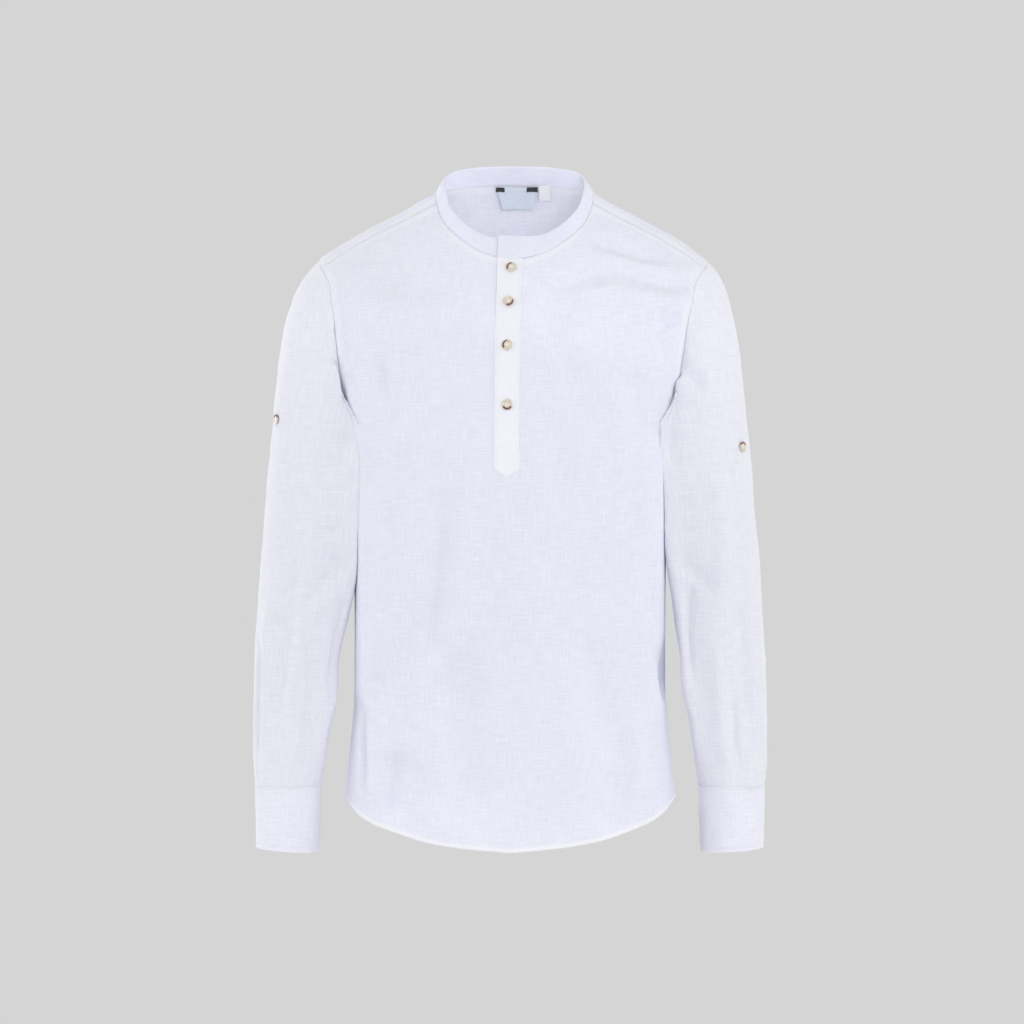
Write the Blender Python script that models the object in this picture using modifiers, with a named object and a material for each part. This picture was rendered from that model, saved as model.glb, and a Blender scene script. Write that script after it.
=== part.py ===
"""A man's band-collar pullover shirt with a half placket, hollow, in the form it takes when worn.

Frame: metres, +Z up, the front faces -Y and +X is the wearer's left. The origin is the centre of the
neck at the height of the high shoulder points, where the wearer's shoulders hold the shirt up.
All sizes below are millimetres. A "drop" is a distance below the high shoulder points, and a "turn"
is the angle round the body from the centre front, positive towards the wearer's left.
"""

import math
from collections import namedtuple

import bmesh
import bpy
import numpy as np
from mathutils import Matrix, Vector

MM = 0.001

# Cloth
WALL = 1.5  # front, back and sleeves
BAND_WALL = 1.8  # collar band and cuffs, which are two layers
STRIP_WALL = 1.0  # plackets, labels and tape
SEAM_GAP = 0.3  # between neighbouring pieces
LIE_GAP = 0.45  # between a panel and what lies on it
STEEPEST = 0.6  # least agreement of a wall's normal and its mitred edge, which caps the edge's length

# The body's outline at each drop: half its width, how far its front and back reach from the
# shoulder line, where that line runs, and the power of its rounded-box section
Level = namedtuple("Level", "drop half_width front back tip_y power")
BODY = (
    Level(-20, 62, -10, 40, 10, 2.0),
    Level(-10, 73, -2, 46, 10, 2.0),
    Level(0, 85, 6, 52, 10, 2.0),
    Level(15, 109, 17.4, 60, 9.5, 2.0),
    Level(32, 141, 27.3, 67, 8.5, 2.0),
    Level(47, 169, 39.4, 74, 7.3, 2.0),
    Level(60, 191, 48.6, 79.5, 6, 2.0),
    Level(79, 215, 60, 87, 3, 2.1),
    Level(88, 221, 65, 91, 2, 2.4),
    Level(100, 220, 71, 95, 1, 2.8),
    Level(127, 218, 84.5, 103, 0, 3.2),
    Level(165, 207, 99, 111, 0, 3.2),
    Level(200, 194, 109, 116, 0, 3.1),
    Level(220, 187, 113, 117.5, 0, 3.0),
    Level(248, 180.5, 116.5, 118, 0, 2.85),
    Level(300, 175.5, 119, 115, 0, 2.7),
    Level(352, 173, 117.5, 111, 0, 2.6),
    Level(420, 171, 114, 108, 0, 2.6),
    Level(500, 170.5, 112, 108, 0, 2.5),
    Level(560, 171, 112, 110, 0, 2.5),
    Level(616, 176, 112.5, 112, 0, 2.5),
    Level(665, 180.5, 113, 114, 0, 2.5),
    Level(740, 186, 114.5, 116, 0, 2.5),
)
NECK_SHIFT = 5  # the neck sits this far towards the wearer's left of the body's middle
NECK_SHIFT_END = 220  # drop at which that shift has faded out

SHOULDER_CORE_DROP = 165  # of the line inside the shoulders that their points are set out from
CORE_SHARE = 0.95  # of a point's distance from the middle, where the line that sets it out starts
WIDEST_SHARE = 0.985  # of the half width, past which a point's depth is no longer read

# Neck seam, an oval in plan
NECK_HALF_WIDTH = 87
NECK_MID_Y = 4
NECK_FRONT = 64
NECK_BACK = 42

# Armhole seam, an oval seen from the side
ARMHOLE_TOP = 80
ARMHOLE_BOTTOM = 248
ARMHOLE_FRONT = 64
ARMHOLE_BACK = 62
SHOULDER_NECK_ANGLE = math.radians(80)  # where the shoulder seam leaves the neck seam
SHOULDER_ARM_ANGLE = math.radians(25.2)  # and where it meets the armhole, in front of its top

# Shirt-tail hem: how far it rises at shares of the half width from the centre to the side seam
Hem = namedtuple("Hem", "share rise")
HEM = (Hem(0, 0), Hem(0.3, 5), Hem(0.53, 12.5), Hem(0.71, 22), Hem(0.84, 31), Hem(0.93, 41), Hem(1, 54))
FRONT_LENGTH = 719
BACK_LENGTH = 731
SIDE_LENGTH = 665

# Soft folds in the body: the foot and head of each, its half width and how far it stands out
Fold = namedtuple("Fold", "panel foot_x foot_drop head_x head_drop width height")
FOLDS = (
    Fold("front", -118, 715, -96, 470, 17, -4.5),
    Fold("front", -142, 700, -128, 520, 13, 4.0),
    Fold("front", -84, 740, -70, 560, 15, 3.5),
    Fold("front", 128, 715, 120, 480, 18, -3.5),
    Fold("front", 96, 730, 92, 600, 14, 3.0),
    Fold("front", 150, 300, 60, 118, 20, -3.0),
    Fold("front", -150, 330, -78, 150, 24, -3.5),
    Fold("back", -66, 735, -52, 330, 22, -5.0),
    Fold("back", 58, 735, 64, 360, 24, -5.0),
    Fold("back", 0, 735, 4, 420, 22, 3.5),
    Fold("back", -124, 710, -112, 480, 18, 4.0),
    Fold("back", 120, 710, 110, 500, 18, 3.5),
)

# Collar band: where its top edge lies from the seam, at angles round the neck from the centre front
Band = namedtuple("Band", "angle inward towards_back rise")
BAND = (
    Band(0, 0, 13, 22.5),
    Band(25, 2.5, 11, 19),
    Band(50, 6, 2, 16),
    Band(67, 7.5, -3.5, 15.5),
    Band(80, 9, -3, 16),
    Band(90, 9.5, 0, 15.7),
    Band(105, 9, 3, 17.5),
    Band(122, 7, 0.5, 20),
    Band(145, 4, -7.5, 20.8),
    Band(180, 0, -13, 21.5),
)
BAND_OVER = 17  # how far the upper end of the band passes the centre front
BAND_UNDER = 10  # how far the end under it passes the other way
BAND_LIFT_ANGLES = (math.radians(330), math.radians(350))  # where the upper end lifts off the neck

# Front placket, in the front panel's own columns and rows
PLACKET_BOTTOM = 306  # drop of its square corners
PLACKET_POINT = 9  # how much lower its tip is
PLACKET_EDGES = (-2, 1.2)  # its sides, in columns of the front from the middle one
PLACKET_BUTTON_COLUMN = 2.4  # the buttons' place across its own five columns
SLIT_BOTTOM = 290
SLIT_WIDTH = 1.6
SLIT_DEPTH = 16  # of what cuts it, across the wall
SLIT_PAST = 12  # how far the cut runs on past the edge of the cloth
PLACKET_UNDER_SHORTER = 4  # the lower strip's foot is this much higher
PLACKET_UNDER_MARGIN = 0.12  # and each of its sides this share of a column further in
BUTTON_DROPS = (88.5, 126, 174, 238)

# Sleeve: its outer and inner outline, its middle and half its depth, from the armhole to the cuff
Ring = namedtuple("Ring", "outer_x outer_drop inner_x inner_drop mid_y half_depth")
SLEEVE = (
    Ring(216, 80, 180.5, 248, 0, 64),
    Ring(226, 92, 181, 253, 0, 65.5),
    Ring(236, 110, 180.3, 261, -1, 67.5),
    Ring(245, 138, 179, 272, -1, 69),
    Ring(252, 175, 178, 290, -1, 69),
    Ring(258, 228, 177.2, 318, 0, 67),
    Ring(265, 300, 176.6, 362, 2, 63.5),
    Ring(271.5, 375, 176.4, 412, 3, 59.5),
    Ring(277, 450, 178, 462, 2, 56),
    Ring(281, 520, 187, 522, -3, 52.5),
    Ring(281.8, 580, 195, 580, -12, 48),
    Ring(280.2, 630, 201.5, 630, -20, 44),
    Ring(278.3, 656.5, 207, 656.5, -24, 41),
)
SLEEVE_BLEND = 4  # rings over which the armhole's own form fades into the sleeve's ovals
SLEEVE_CLEARANCE = 0.6  # between the sleeve and the body's side
SLEEVE_CROWDING = 1.15  # how much closer its rings are at the armhole
FIRST_CLEAR = 0.04  # station from which the sleeve is kept off the body

# Rolls of sleeve cloth: side, angle round the sleeve, first and last ring, half width, forward, inward
Roll = namedtuple("Roll", "side angle first last width forward inward")
ROLLS = (
    Roll(1, 135, 0.2, 6.5, 24, 10, 15),
    Roll(-1, 135, 0.2, 8.5, 24, 8, 14),
    Roll(1, 62, 3.0, 8.5, 16, -4, 0),
    Roll(-1, 66, 2.5, 9.5, 16, -4, 0),
    Roll(1, 150, 6.0, 11.0, 20, 4, 0),
    Roll(-1, 140, 6.5, 11.5, 20, 4, 0),
)

# Cuffs
CUFF_LENGTH = 66
CUFF_BOTTOM_IN = 1.5  # how much narrower each side of the cuff is at the bottom
CUFF_OPENING_STEP = 2  # the opening's place, in the back armhole's steps from the underarm
CUFF_OVERLAP = math.radians(30)
CUFF_STRIP_ROWS = 4
CUFF_BUTTON_ROW = 1

# Buttons
BUTTON_RADIUS = 5.7
BUTTON_THICKNESS = 2.6
BUTTON_RIM = 1.5
BUTTON_DISH = 0.7
BUTTON_CHAMFER = 0.6
BUTTON_SLOPE = 0.8  # across the inner side of the rim
BUTTON_BACK = 0.72  # radius of its back, as a share of its own
BUTTON_SIDES = 14
TabButton = namedtuple("TabButton", "side drop angle")
TAB_BUTTONS = (TabButton(-1, 253, 31), TabButton(1, 283, 40))

# Neck label, its tape tabs and the size tag, from the neck's middle
Tag = namedtuple("Tag", "name slot left_top right_top left_bottom right_bottom top bottom")
TAGS = (
    Tag("neck_label", "label", -23, 25, -15.5, 18.5, -2.6, 17),
    Tag("label_tab_right", "tape", -23, -13, -23, -13, -7.4, -3),
    Tag("label_tab_left", "tape", 12.5, 25, 12.5, 25, -7.6, -3),
    Tag("size_tag", "tag", 26, 39.5, 27, 40, -8.6, 7.5),
)
TAG_SAG = 2  # how far the labels hang off the cloth behind them

# How many faces each stretch of a seam has. Pieces that share a seam share its points
NECK_FRONT_STEPS = 8
NECK_BACK_STEPS = 6
SHOULDER_STEPS = 5
SIDE_STEPS = 14
ARMHOLE_FRONT_STEPS = 9
ARMHOLE_BACK_STEPS = 13
SLEEVE_STEPS = 17
BAND_ROWS = 2
CUFF_OPENING = math.pi + (math.pi + SHOULDER_ARM_ANGLE) * CUFF_OPENING_STEP / ARMHOLE_BACK_STEPS

COLOURS = {
    "shirt_cloth": ((0.84, 0.84, 0.90), 0.9),
    "button": ((0.80, 0.74, 0.64), 0.45),
    "label": ((0.66, 0.68, 0.76), 0.7),
    "tape": ((0.02, 0.02, 0.025), 0.8),
    "tag": ((0.92, 0.92, 0.93), 0.8),
}


# ---------------------------------------------------------------- the body's surface


def smooth(stations, values, at):
    """A smooth curve through (stations, values) that doesn't overshoot them."""
    stations, values = np.asarray(stations, float), np.asarray(values, float)
    at = np.clip(np.asarray(at, float), stations[0], stations[-1])
    steps = np.diff(stations)
    rises = np.diff(values) / steps
    turning = rises[:-1] * rises[1:]
    inner = np.where(turning > 0, 2 * turning / (rises[:-1] + rises[1:] + 1e-12), 0)
    slopes = np.concatenate(([rises[0]], inner, [rises[-1]]))
    i = np.clip(np.searchsorted(stations, at) - 1, 0, len(steps) - 1)
    u = (at - stations[i]) / steps[i]
    ends = values[i] * (1 + 2 * u) * (1 - u) ** 2 + values[i + 1] * u * u * (3 - 2 * u)
    return ends + steps[i] * (slopes[i] * u * (1 - u) ** 2 + slopes[i + 1] * u * u * (u - 1))


def read(table, names, at, key=None):
    """Columns of a table, read smoothly at a value of its key column, or of the row's number."""
    keys = range(len(table)) if key is None else [getattr(row, key) for row in table]
    return [smooth(keys, [getattr(row, name) for row in table], at) for name in names]


def level(drop):
    return read(BODY, Level._fields[1:], drop, key="drop")


def fade(value):
    """0 up to 0, 1 from 1 on, and smooth between."""
    value = np.clip(value, 0, 1)
    return value * value * (3 - 2 * value)


def neck_shift(drop):
    return NECK_SHIFT * (1 - fade(drop / NECK_SHIFT_END))


def unit(vectors):
    return vectors / np.linalg.norm(vectors, axis=-1, keepdims=True)


def on_section(turn, drop):
    """A place on the body's plain form, without folds, at a turn and a drop."""
    half_width, front, back, tip_y, power = level(drop)
    depth = (1 - np.minimum(np.abs(np.sin(turn)), 1) ** power) ** (1 / power)
    y = np.where(np.cos(turn) > 0, tip_y - (front + tip_y) * depth, tip_y + (back - tip_y) * depth)
    return np.stack([half_width * np.sin(turn), y, -drop + 0 * turn], axis=-1)


def bulk(points):
    """1 on the body's plain form, less inside it and more outside."""
    x, y, drop = points[..., 0], points[..., 1], -points[..., 2]
    half_width, front, back, tip_y, power = level(drop)
    reach = np.maximum(np.where(y < tip_y, front + tip_y, back - tip_y), 0.1)
    above = np.where(drop < BODY[0].drop, 9, 0)
    return (np.abs(x) / half_width) ** power + (np.abs(y - tip_y) / reach) ** power + above


def out_to_form(start, way):
    """Where a line from a start inside the plain form leaves it, by halving."""
    near, far = np.zeros(start.shape[:-1] + (1,)), np.ones(start.shape[:-1] + (1,))
    for _ in range(40):
        middle = (near + far) / 2
        inside = bulk(start + way * middle)[..., None] < 1
        near, far = np.where(inside, middle, near), np.where(inside, far, middle)
    return start + way * (near + far) / 2


def under_plan(x, y):
    """The plain form's point above a place in plan."""
    start = np.stack([x, y, np.full(np.shape(x), -200.0)], axis=-1)
    return out_to_form(start, np.array([0, 0, 200.0 - BODY[0].drop]))


def high_up(drop):
    """1 in the shoulders and 0 below them."""
    return fade((SHOULDER_CORE_DROP + 5 - drop) / 100)


def onto_form(points):
    """Moves points onto the plain form: level, or up and out from a line inside the shoulders."""
    drop = -points[..., 2]
    high = high_up(drop)
    core = np.stack([CORE_SHARE * points[..., 0], 0 * drop, -drop], axis=-1)
    core[..., 2] += (drop - SHOULDER_CORE_DROP) * high
    return out_to_form(core, (points - core) * 4)


def normal_at(points):
    """The plain form's outward normal, from small steps along each axis."""
    steps = 0.3 * np.eye(3)
    return unit(np.stack([bulk(points + step) - bulk(points - step) for step in steps], axis=-1))


def fold_height(panel, x, drop):
    """How far the folds move a panel's point outwards."""
    total = np.zeros(np.shape(x))
    for fold in FOLDS:
        if fold.panel == panel:
            along = (drop - fold.head_drop) / (fold.foot_drop - fold.head_drop)
            middle = fold.head_x + (fold.foot_x - fold.head_x) * along
            length = fade(along * 2.5) * fade((1.15 - along) * 3)
            total += fold.height * length * np.exp(-(((x - middle) / fold.width) ** 2))
    return total


def worn(points):
    """Points of the plain form with the folds and the neck's shift."""
    points = points.copy()
    x, y, drop = points[..., 0], points[..., 1], -points[..., 2]
    _, front, back, tip_y, _ = level(drop)
    in_front = y < tip_y
    depth = np.abs(y - tip_y) / np.where(in_front, front + tip_y, back - tip_y)
    fold = np.where(in_front, -fold_height("front", x, drop), fold_height("back", x, drop))
    points[..., 1] += fold * np.clip(depth, 0, 1)
    points[..., 0] += neck_shift(drop)
    return points


# ---------------------------------------------------------------- seams, on the plain form


def neck_seam(angle):
    """The neck seam at an angle from the centre front, positive towards the wearer's left."""
    angle = np.asarray(angle, float)
    reach = np.where(np.cos(angle) > 0, NECK_FRONT, NECK_BACK)
    return under_plan(NECK_HALF_WIDTH * np.sin(angle), NECK_MID_Y - reach * np.cos(angle))


def armhole(angle):
    """The left armhole's seam at an angle from its top, turning towards the front."""
    angle = np.asarray(angle, float)
    middle, half = (ARMHOLE_BOTTOM + ARMHOLE_TOP) / 2, (ARMHOLE_BOTTOM - ARMHOLE_TOP) / 2
    drop = middle - half * np.cos(angle)
    _, front, back, tip_y, power = level(drop)
    to_front = np.sin(angle) > 0
    across = np.where(to_front, ARMHOLE_FRONT, ARMHOLE_BACK) * np.abs(np.sin(angle))
    reach = np.where(to_front, front + tip_y, back - tip_y)
    turn = np.arcsin(np.clip((1 - (across / reach) ** power) ** (1 / power), 0, 1))
    return on_section(np.where(to_front, turn, math.pi - turn), drop)


def shoulder_seam(share):
    """The left shoulder seam from the neck (0) to the armhole (1), straight in plan."""
    start, end = neck_seam(SHOULDER_NECK_ANGLE), armhole(SHOULDER_ARM_ANGLE)
    x, y = (start[i] + (end[i] - start[i]) * np.asarray(share, float) for i in (0, 1))
    return under_plan(x, y)


def neck_front_angles():
    """Angles of the front's neck points, from the centre. Two columns lie along the placket."""
    edge = math.asin(BAND_OVER / NECK_HALF_WIDTH)
    rest = np.linspace(edge, SHOULDER_NECK_ANGLE, NECK_FRONT_STEPS - 1)
    return np.concatenate([[0, edge / 2], rest])


def neck_back_angles():
    """Angles of the back's neck points, from the centre back to the shoulder seam."""
    return np.linspace(math.pi, SHOULDER_NECK_ANGLE, NECK_BACK_STEPS + 1)


def front_armhole_angles():
    """Angles of the front's armhole points, from the underarm to the shoulder seam."""
    return np.linspace(math.pi, SHOULDER_ARM_ANGLE, ARMHOLE_FRONT_STEPS + 1)


def back_armhole_angles():
    """Angles of the back's armhole points, from the underarm to the shoulder seam."""
    return np.linspace(math.pi, 2 * math.pi + SHOULDER_ARM_ANGLE, ARMHOLE_BACK_STEPS + 1)


def neck_mitre(angle):
    """The way the walls' edges face at the neck seam, between the body's normal and the band's."""
    angle = np.asarray(angle, float)
    along = neck_seam(angle + 0.01) - neck_seam(angle - 0.01)
    return unit(unit(np.cross(along, band_way(angle))) + normal_at(neck_seam(angle)))


def armhole_mitre(angle):
    """(the way the panels' edges face at the left armhole, the way the sleeve's edge faces)."""
    panel_way = normal_at(armhole(angle))
    sleeve_way = sleeve_normal(1, np.full(np.shape(angle), 0.05), angle)
    agree = np.sum(panel_way * sleeve_way, axis=-1, keepdims=True) > 0.2
    middle = unit(panel_way + sleeve_way)
    return np.where(agree, middle, panel_way), np.where(agree, middle, sleeve_way)


# ---------------------------------------------------------------- panels


def shares(points):
    """Each point's share of the way along a line of points."""
    along = np.concatenate(([0], np.cumsum(np.linalg.norm(np.diff(points, axis=0), axis=1))))
    return along / along[-1]


def hem_edge(x, centre_length, at_back):
    """The left half of a hem at distances from the centre."""
    across = x / x[-1]
    rise = smooth([row.share for row in HEM], [row.rise for row in HEM], across)
    turn = np.arcsin(across)
    drop = centre_length - rise * (centre_length - SIDE_LENGTH) / HEM[-1].rise
    return on_section(math.pi - turn if at_back else turn, drop)


def patch(bottom, top, side, at_back):
    """The left half of a panel between its edges: rows from hem to top, columns from the centre."""
    v = shares(side)[:, None]
    u = (shares(bottom) + shares(top))[None] / 2
    bulge = side - (1 - v) * side[0] - v * side[-1]
    ruled = (1 - v[..., None]) * bottom + v[..., None] * top
    even = bottom[:, 0] / bottom[-1, 0]
    x = even * side[:, :1] + v**4 * (top[:, 0] - even * side[-1, 0])
    z = (1 - v) * bottom[-1, 2] + v * top[-1, 2] + u * bulge[:, 2:]
    z = z + (1 - v) ** 2 * (bottom[:, 2] - bottom[-1, 2]) + v**2 * (top[:, 2] - top[-1, 2])
    turn = np.arcsin(np.minimum(x / level(-z)[0], WIDEST_SHARE))
    low = on_section(math.pi - turn if at_back else turn, -z)[..., 1]
    high = high_up(-z)
    y = high * (ruled[..., 1] + bulge[:, 1:2]) + (1 - high) * low
    points = onto_form(np.stack([x, y, z], axis=-1))
    points[0], points[-1], points[:, -1] = bottom, top, side
    return points


def side_edge(armhole_angles):
    """A panel's left edge from the hem up the side seam and round the armhole."""
    drops = np.linspace(SIDE_LENGTH, ARMHOLE_BOTTOM, SIDE_STEPS + 1)
    side_seam = on_section(np.full(drops.shape, math.pi / 2), drops)
    return np.concatenate([side_seam, armhole(armhole_angles[1:])])


def slanted(way, across):
    """A way through a wall, long enough to cross it when it slants."""
    return way / np.maximum(np.sum(way * across, axis=-1, keepdims=True), STEEPEST)


def whole_panel(half, neck_angles):
    """(outer points, unit ways into the wall) from a panel's left half, columns to the left."""
    mirrored = half * [-1, 1, 1]
    plain = np.concatenate([mirrored[:, :0:-1], half], axis=1)
    inward = -normal_at(plain)
    neck = len(half[0]) - 1 + np.arange(1 - len(neck_angles), len(neck_angles))
    around = np.concatenate([-neck_angles[:0:-1], neck_angles])
    inward[-1, neck] = slanted(-neck_mitre(around), inward[-1, neck])
    return worn(plain), inward


def mitre_armholes(inward, armhole_angles):
    """Slants a panel's edges where its sleeves join."""
    edge = np.arange(SIDE_STEPS, len(inward))
    left = -armhole_mitre(armhole_angles)[0]
    inward[edge, -1] = slanted(left, inward[edge, -1])
    inward[edge, 0] = slanted(left * [-1, 1, 1], inward[edge, 0])


def top_edge(neck_angles):
    shoulder = shoulder_seam(np.linspace(0, 1, SHOULDER_STEPS + 1)[1:])
    return np.concatenate([neck_seam(neck_angles), shoulder])


def front_panel():
    """The front. Its middle columns run straight down under the placket."""
    top = top_edge(neck_front_angles())
    half_width, edge = float(level(SIDE_LENGTH)[0]), BAND_OVER
    rest = np.sin(np.linspace(0, math.pi / 2, len(top) - 2)[1:])
    x = np.concatenate([[0, edge / 2, edge], edge + (half_width - edge) * rest])
    hem = hem_edge(x, FRONT_LENGTH, at_back=False)
    half = patch(hem, top, side_edge(front_armhole_angles()), at_back=False)
    points, inward = whole_panel(half, neck_front_angles())
    mitre_armholes(inward, front_armhole_angles())
    return points, inward


def back_panel():
    """The back, which reaches over the shoulders to the seams in front of them. Its columns run
    to the wearer's right, so that they run to the right seen from behind."""
    top = top_edge(neck_back_angles())
    x = float(level(SIDE_LENGTH)[0]) * np.sin(math.pi / 2 * shares(top))
    hem = hem_edge(x, BACK_LENGTH, at_back=True)
    half = patch(hem, top, side_edge(back_armhole_angles()), at_back=True)
    points, inward = whole_panel(half, neck_back_angles())
    mitre_armholes(inward, back_armhole_angles())
    return points[:, ::-1], inward[:, ::-1]


# ---------------------------------------------------------------- sleeves and cuffs


LAST_RING = len(SLEEVE) - 1


def oval(station, angle):
    """A point of the left sleeve's oval at a station, without the armhole's own form."""
    outer_x, outer_drop, inner_x, inner_drop, mid_y, half_depth = read(SLEEVE, Ring._fields, station)
    x = (outer_x + inner_x) / 2 + (outer_x - inner_x) / 2 * np.cos(angle)
    drop = (outer_drop + inner_drop) / 2 + (outer_drop - inner_drop) / 2 * np.cos(angle)
    return np.stack([x, mid_y - half_depth * np.sin(angle), -drop], axis=-1)


def clear_of_body(points):
    """Moves a sleeve's points off the body's side, except inside the armhole."""
    x, y, drop = points[..., 0], points[..., 1], -points[..., 2]
    middle, half = (ARMHOLE_BOTTOM + ARMHOLE_TOP) / 2, (ARMHOLE_BOTTOM - ARMHOLE_TOP) / 2
    across = np.where(y < 0, ARMHOLE_FRONT, ARMHOLE_BACK)
    free = (((drop - middle) / half) ** 2 + (y / across) ** 2 < 1) | (drop < ARMHOLE_TOP)
    _, _, _, tip_y, power = level(drop)
    size = bulk(points) ** (1 / power)
    limit = 1 + SLEEVE_CLEARANCE / np.hypot(x, y - tip_y)
    scale = np.where(free | (size > limit), 1, limit / size)
    return np.stack([x * scale, tip_y + (y - tip_y) * scale, -drop], axis=-1)


def roll_of(side, station, angle):
    """How far the rolls move a sleeve's point."""
    degrees = np.degrees(angle) % 360
    forward, inward = np.zeros(np.shape(degrees)), np.zeros(np.shape(degrees))
    for roll in ROLLS:
        if roll.side == side:
            along = (station - roll.first) / (roll.last - roll.first)
            strength = fade(along * 4) * fade((1 - along) * 2.5)
            strength = strength * np.exp(-(((degrees - roll.angle) / roll.width) ** 2))
            forward = forward + roll.forward * strength
            inward = inward + roll.inward * strength
    return np.stack([-inward, -forward, np.zeros(np.shape(forward))], axis=-1)


def sleeve_point(side, station, angle):
    """A point of a sleeve's outer surface. side is 1 for the wearer's left and -1 for the right."""
    station, angle = np.broadcast_arrays(np.asarray(station, float), np.asarray(angle, float))
    kept = 1 - fade(station / SLEEVE_BLEND)
    own_form = (armhole(angle) - oval(np.zeros(np.shape(angle)), angle)) * kept[..., None]
    points = oval(station, angle) + own_form + roll_of(side, station, angle)
    underarm = fade((-np.cos(angle) - 0.6) * 2.5) * SEAM_GAP
    points[..., 0] += underarm
    points = np.where(station[..., None] > FIRST_CLEAR, clear_of_body(points), points)
    points[..., 0] = side * points[..., 0] + neck_shift(-points[..., 2]) * kept
    return points


def sleeve_normal(side, station, angle):
    along = sleeve_point(side, station + 0.06, angle) - sleeve_point(side, station, angle)
    around = sleeve_point(side, station, angle + 0.02) - sleeve_point(side, station, angle - 0.02)
    return unit(np.cross(around, along)) * side


def sleeve_angles():
    """Angles of the armhole's points, from the shoulder seam round the front, underarm and back."""
    return np.concatenate([front_armhole_angles()[::-1], back_armhole_angles()[1:-1]])


def sleeve_grid(side):
    """(outer points, ways into the wall) of a sleeve, rows from the armhole to the cuff."""
    stations = LAST_RING * np.linspace(0, 1, SLEEVE_STEPS + 1) ** SLEEVE_CROWDING
    station, angle = np.meshgrid(stations, sleeve_angles(), indexing="ij")
    points = sleeve_point(side, station, angle)
    inward = -sleeve_normal(side, np.clip(station, 0.05, LAST_RING - 0.07), angle)
    edge = -armhole_mitre(sleeve_angles())[1] * [side, 1, 1]
    inward[0] = slanted(edge, inward[0])
    return points, inward


def cuff_grid(side):
    """The cuff goes once round from its opening and laps over its own start."""
    around = np.concatenate(
        [
            np.linspace(CUFF_OPENING, CUFF_OPENING + 2 * math.pi, len(sleeve_angles()) + 1),
            CUFF_OPENING + 2 * math.pi + CUFF_OVERLAP * np.array([0.5, 1]),
        ]
    )
    share, angle = np.meshgrid(np.linspace(0, 1, 3), around, indexing="ij")
    top = sleeve_point(side, np.full(angle.shape, float(LAST_RING)), angle)
    out = sleeve_normal(side, np.full(angle.shape, LAST_RING - 0.07), angle) * [1, 1, 0]
    out = unit(out)
    start = CUFF_OPENING + 2 * math.pi - CUFF_OVERLAP
    lift = (BAND_WALL + LIE_GAP) * fade((angle - start) / CUFF_OVERLAP * 1.2)
    points = top + out * (lift - CUFF_BOTTOM_IN * share)[..., None]
    points[..., 2] -= SEAM_GAP + share * (CUFF_LENGTH - SEAM_GAP)
    return points, -out


def cuff_strip(sleeve, inward):
    """The sleeve's placket, on the sleeve's own points each side of the cuff's opening."""
    middle = ARMHOLE_FRONT_STEPS + CUFF_OPENING_STEP
    rows, columns = slice(-CUFF_STRIP_ROWS - 1, None), slice(middle - 1, middle + 2)
    lifted = sleeve[rows, columns] - unit(inward[rows, columns]) * (LIE_GAP + STRIP_WALL)
    return lifted, unit(inward[rows, columns])


# ---------------------------------------------------------------- collar band


def band_way(angle):
    """From the neck seam to the band's top edge."""
    around = np.abs((angle + math.pi) % (2 * math.pi) - math.pi)
    inward, towards_back, rise = read(BAND, Band._fields[1:], np.degrees(around), key="angle")
    return np.stack([-np.sign(np.sin(angle)) * inward, towards_back, rise], axis=-1)


def band_grid():
    """The band goes once round the neck, from its under end at the wearer's left of the centre."""
    half = np.concatenate([neck_front_angles(), neck_back_angles()[-2::-1]])
    under, over = math.asin(BAND_UNDER / NECK_HALF_WIDTH), math.asin(BAND_OVER / NECK_HALF_WIDTH)
    around = -np.concatenate([[-under], half, 2 * math.pi - half[-2::-1], [2 * math.pi + over]])
    share, angle = np.meshgrid(np.linspace(0, 1, BAND_ROWS + 1), around, indexing="ij")
    way = band_way(angle)
    start = SEAM_GAP / np.linalg.norm(way, axis=-1)
    points = worn(neck_seam(angle)) + way * (start + (1 - start) * share)[..., None]
    mitre = neck_mitre(angle)
    lift_start, lift_end = BAND_LIFT_ANGLES
    lift = (BAND_WALL + LIE_GAP) * fade((-angle - lift_start) / (lift_end - lift_start))
    points += mitre * lift[..., None]
    inward = normals_of(points)
    inward[0] = slanted(-mitre[0], inward[0])
    return points, inward


# ---------------------------------------------------------------- pieces that lie on a panel


def normals_of(grid):
    """Unit normals of a grid, on the side where its rows run up and its columns to the right."""
    return unit(np.cross(np.gradient(grid, axis=1), np.gradient(grid, axis=0)))


def between(grid, row, col):
    """A value of a grid at fractional rows and columns."""
    i, j = min(int(row), len(grid) - 2), min(int(col), len(grid[0]) - 2)
    r, c = row - i, col - j
    low = grid[i][j] * (1 - c) + grid[i][j + 1] * c
    high = grid[i + 1][j] * (1 - c) + grid[i + 1][j + 1] * c
    return low * (1 - r) + high * r


def row_at(grid, col, drop):
    """The fractional row where a column of a panel, whose rows run up, passes a drop."""
    heights = [between(grid, row, col)[2] for row in range(len(grid))]
    return float(np.interp(-drop, heights, range(len(grid))))


def placket_grid(front, inward, lift, bottom, margin=0.0):
    """A strip with a pointed foot, on the front panel's own points moved out or in."""
    middle, top = (len(front[0]) - 1) // 2, len(front) - 1
    right, left = PLACKET_EDGES
    tips = [0, PLACKET_POINT / 2, PLACKET_POINT, PLACKET_POINT / 2, 0]
    columns = np.linspace(middle + right + margin, middle + left - margin, len(tips))
    foot = [row_at(front, col, bottom + tip) for col, tip in zip(columns, tips)]
    whole = math.ceil(max(foot) + 0.3)
    points, ways = [], []
    for row in [None] + list(range(whole, top + 1)):
        places = [(start if row is None else row, col) for col, start in zip(columns, foot)]
        way = unit(np.array([between(inward, *place) for place in places]))
        points.append(np.array([between(front, *place) for place in places]) - way * lift)
        ways.append(way)
    return np.array(points), np.array(ways)


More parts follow.
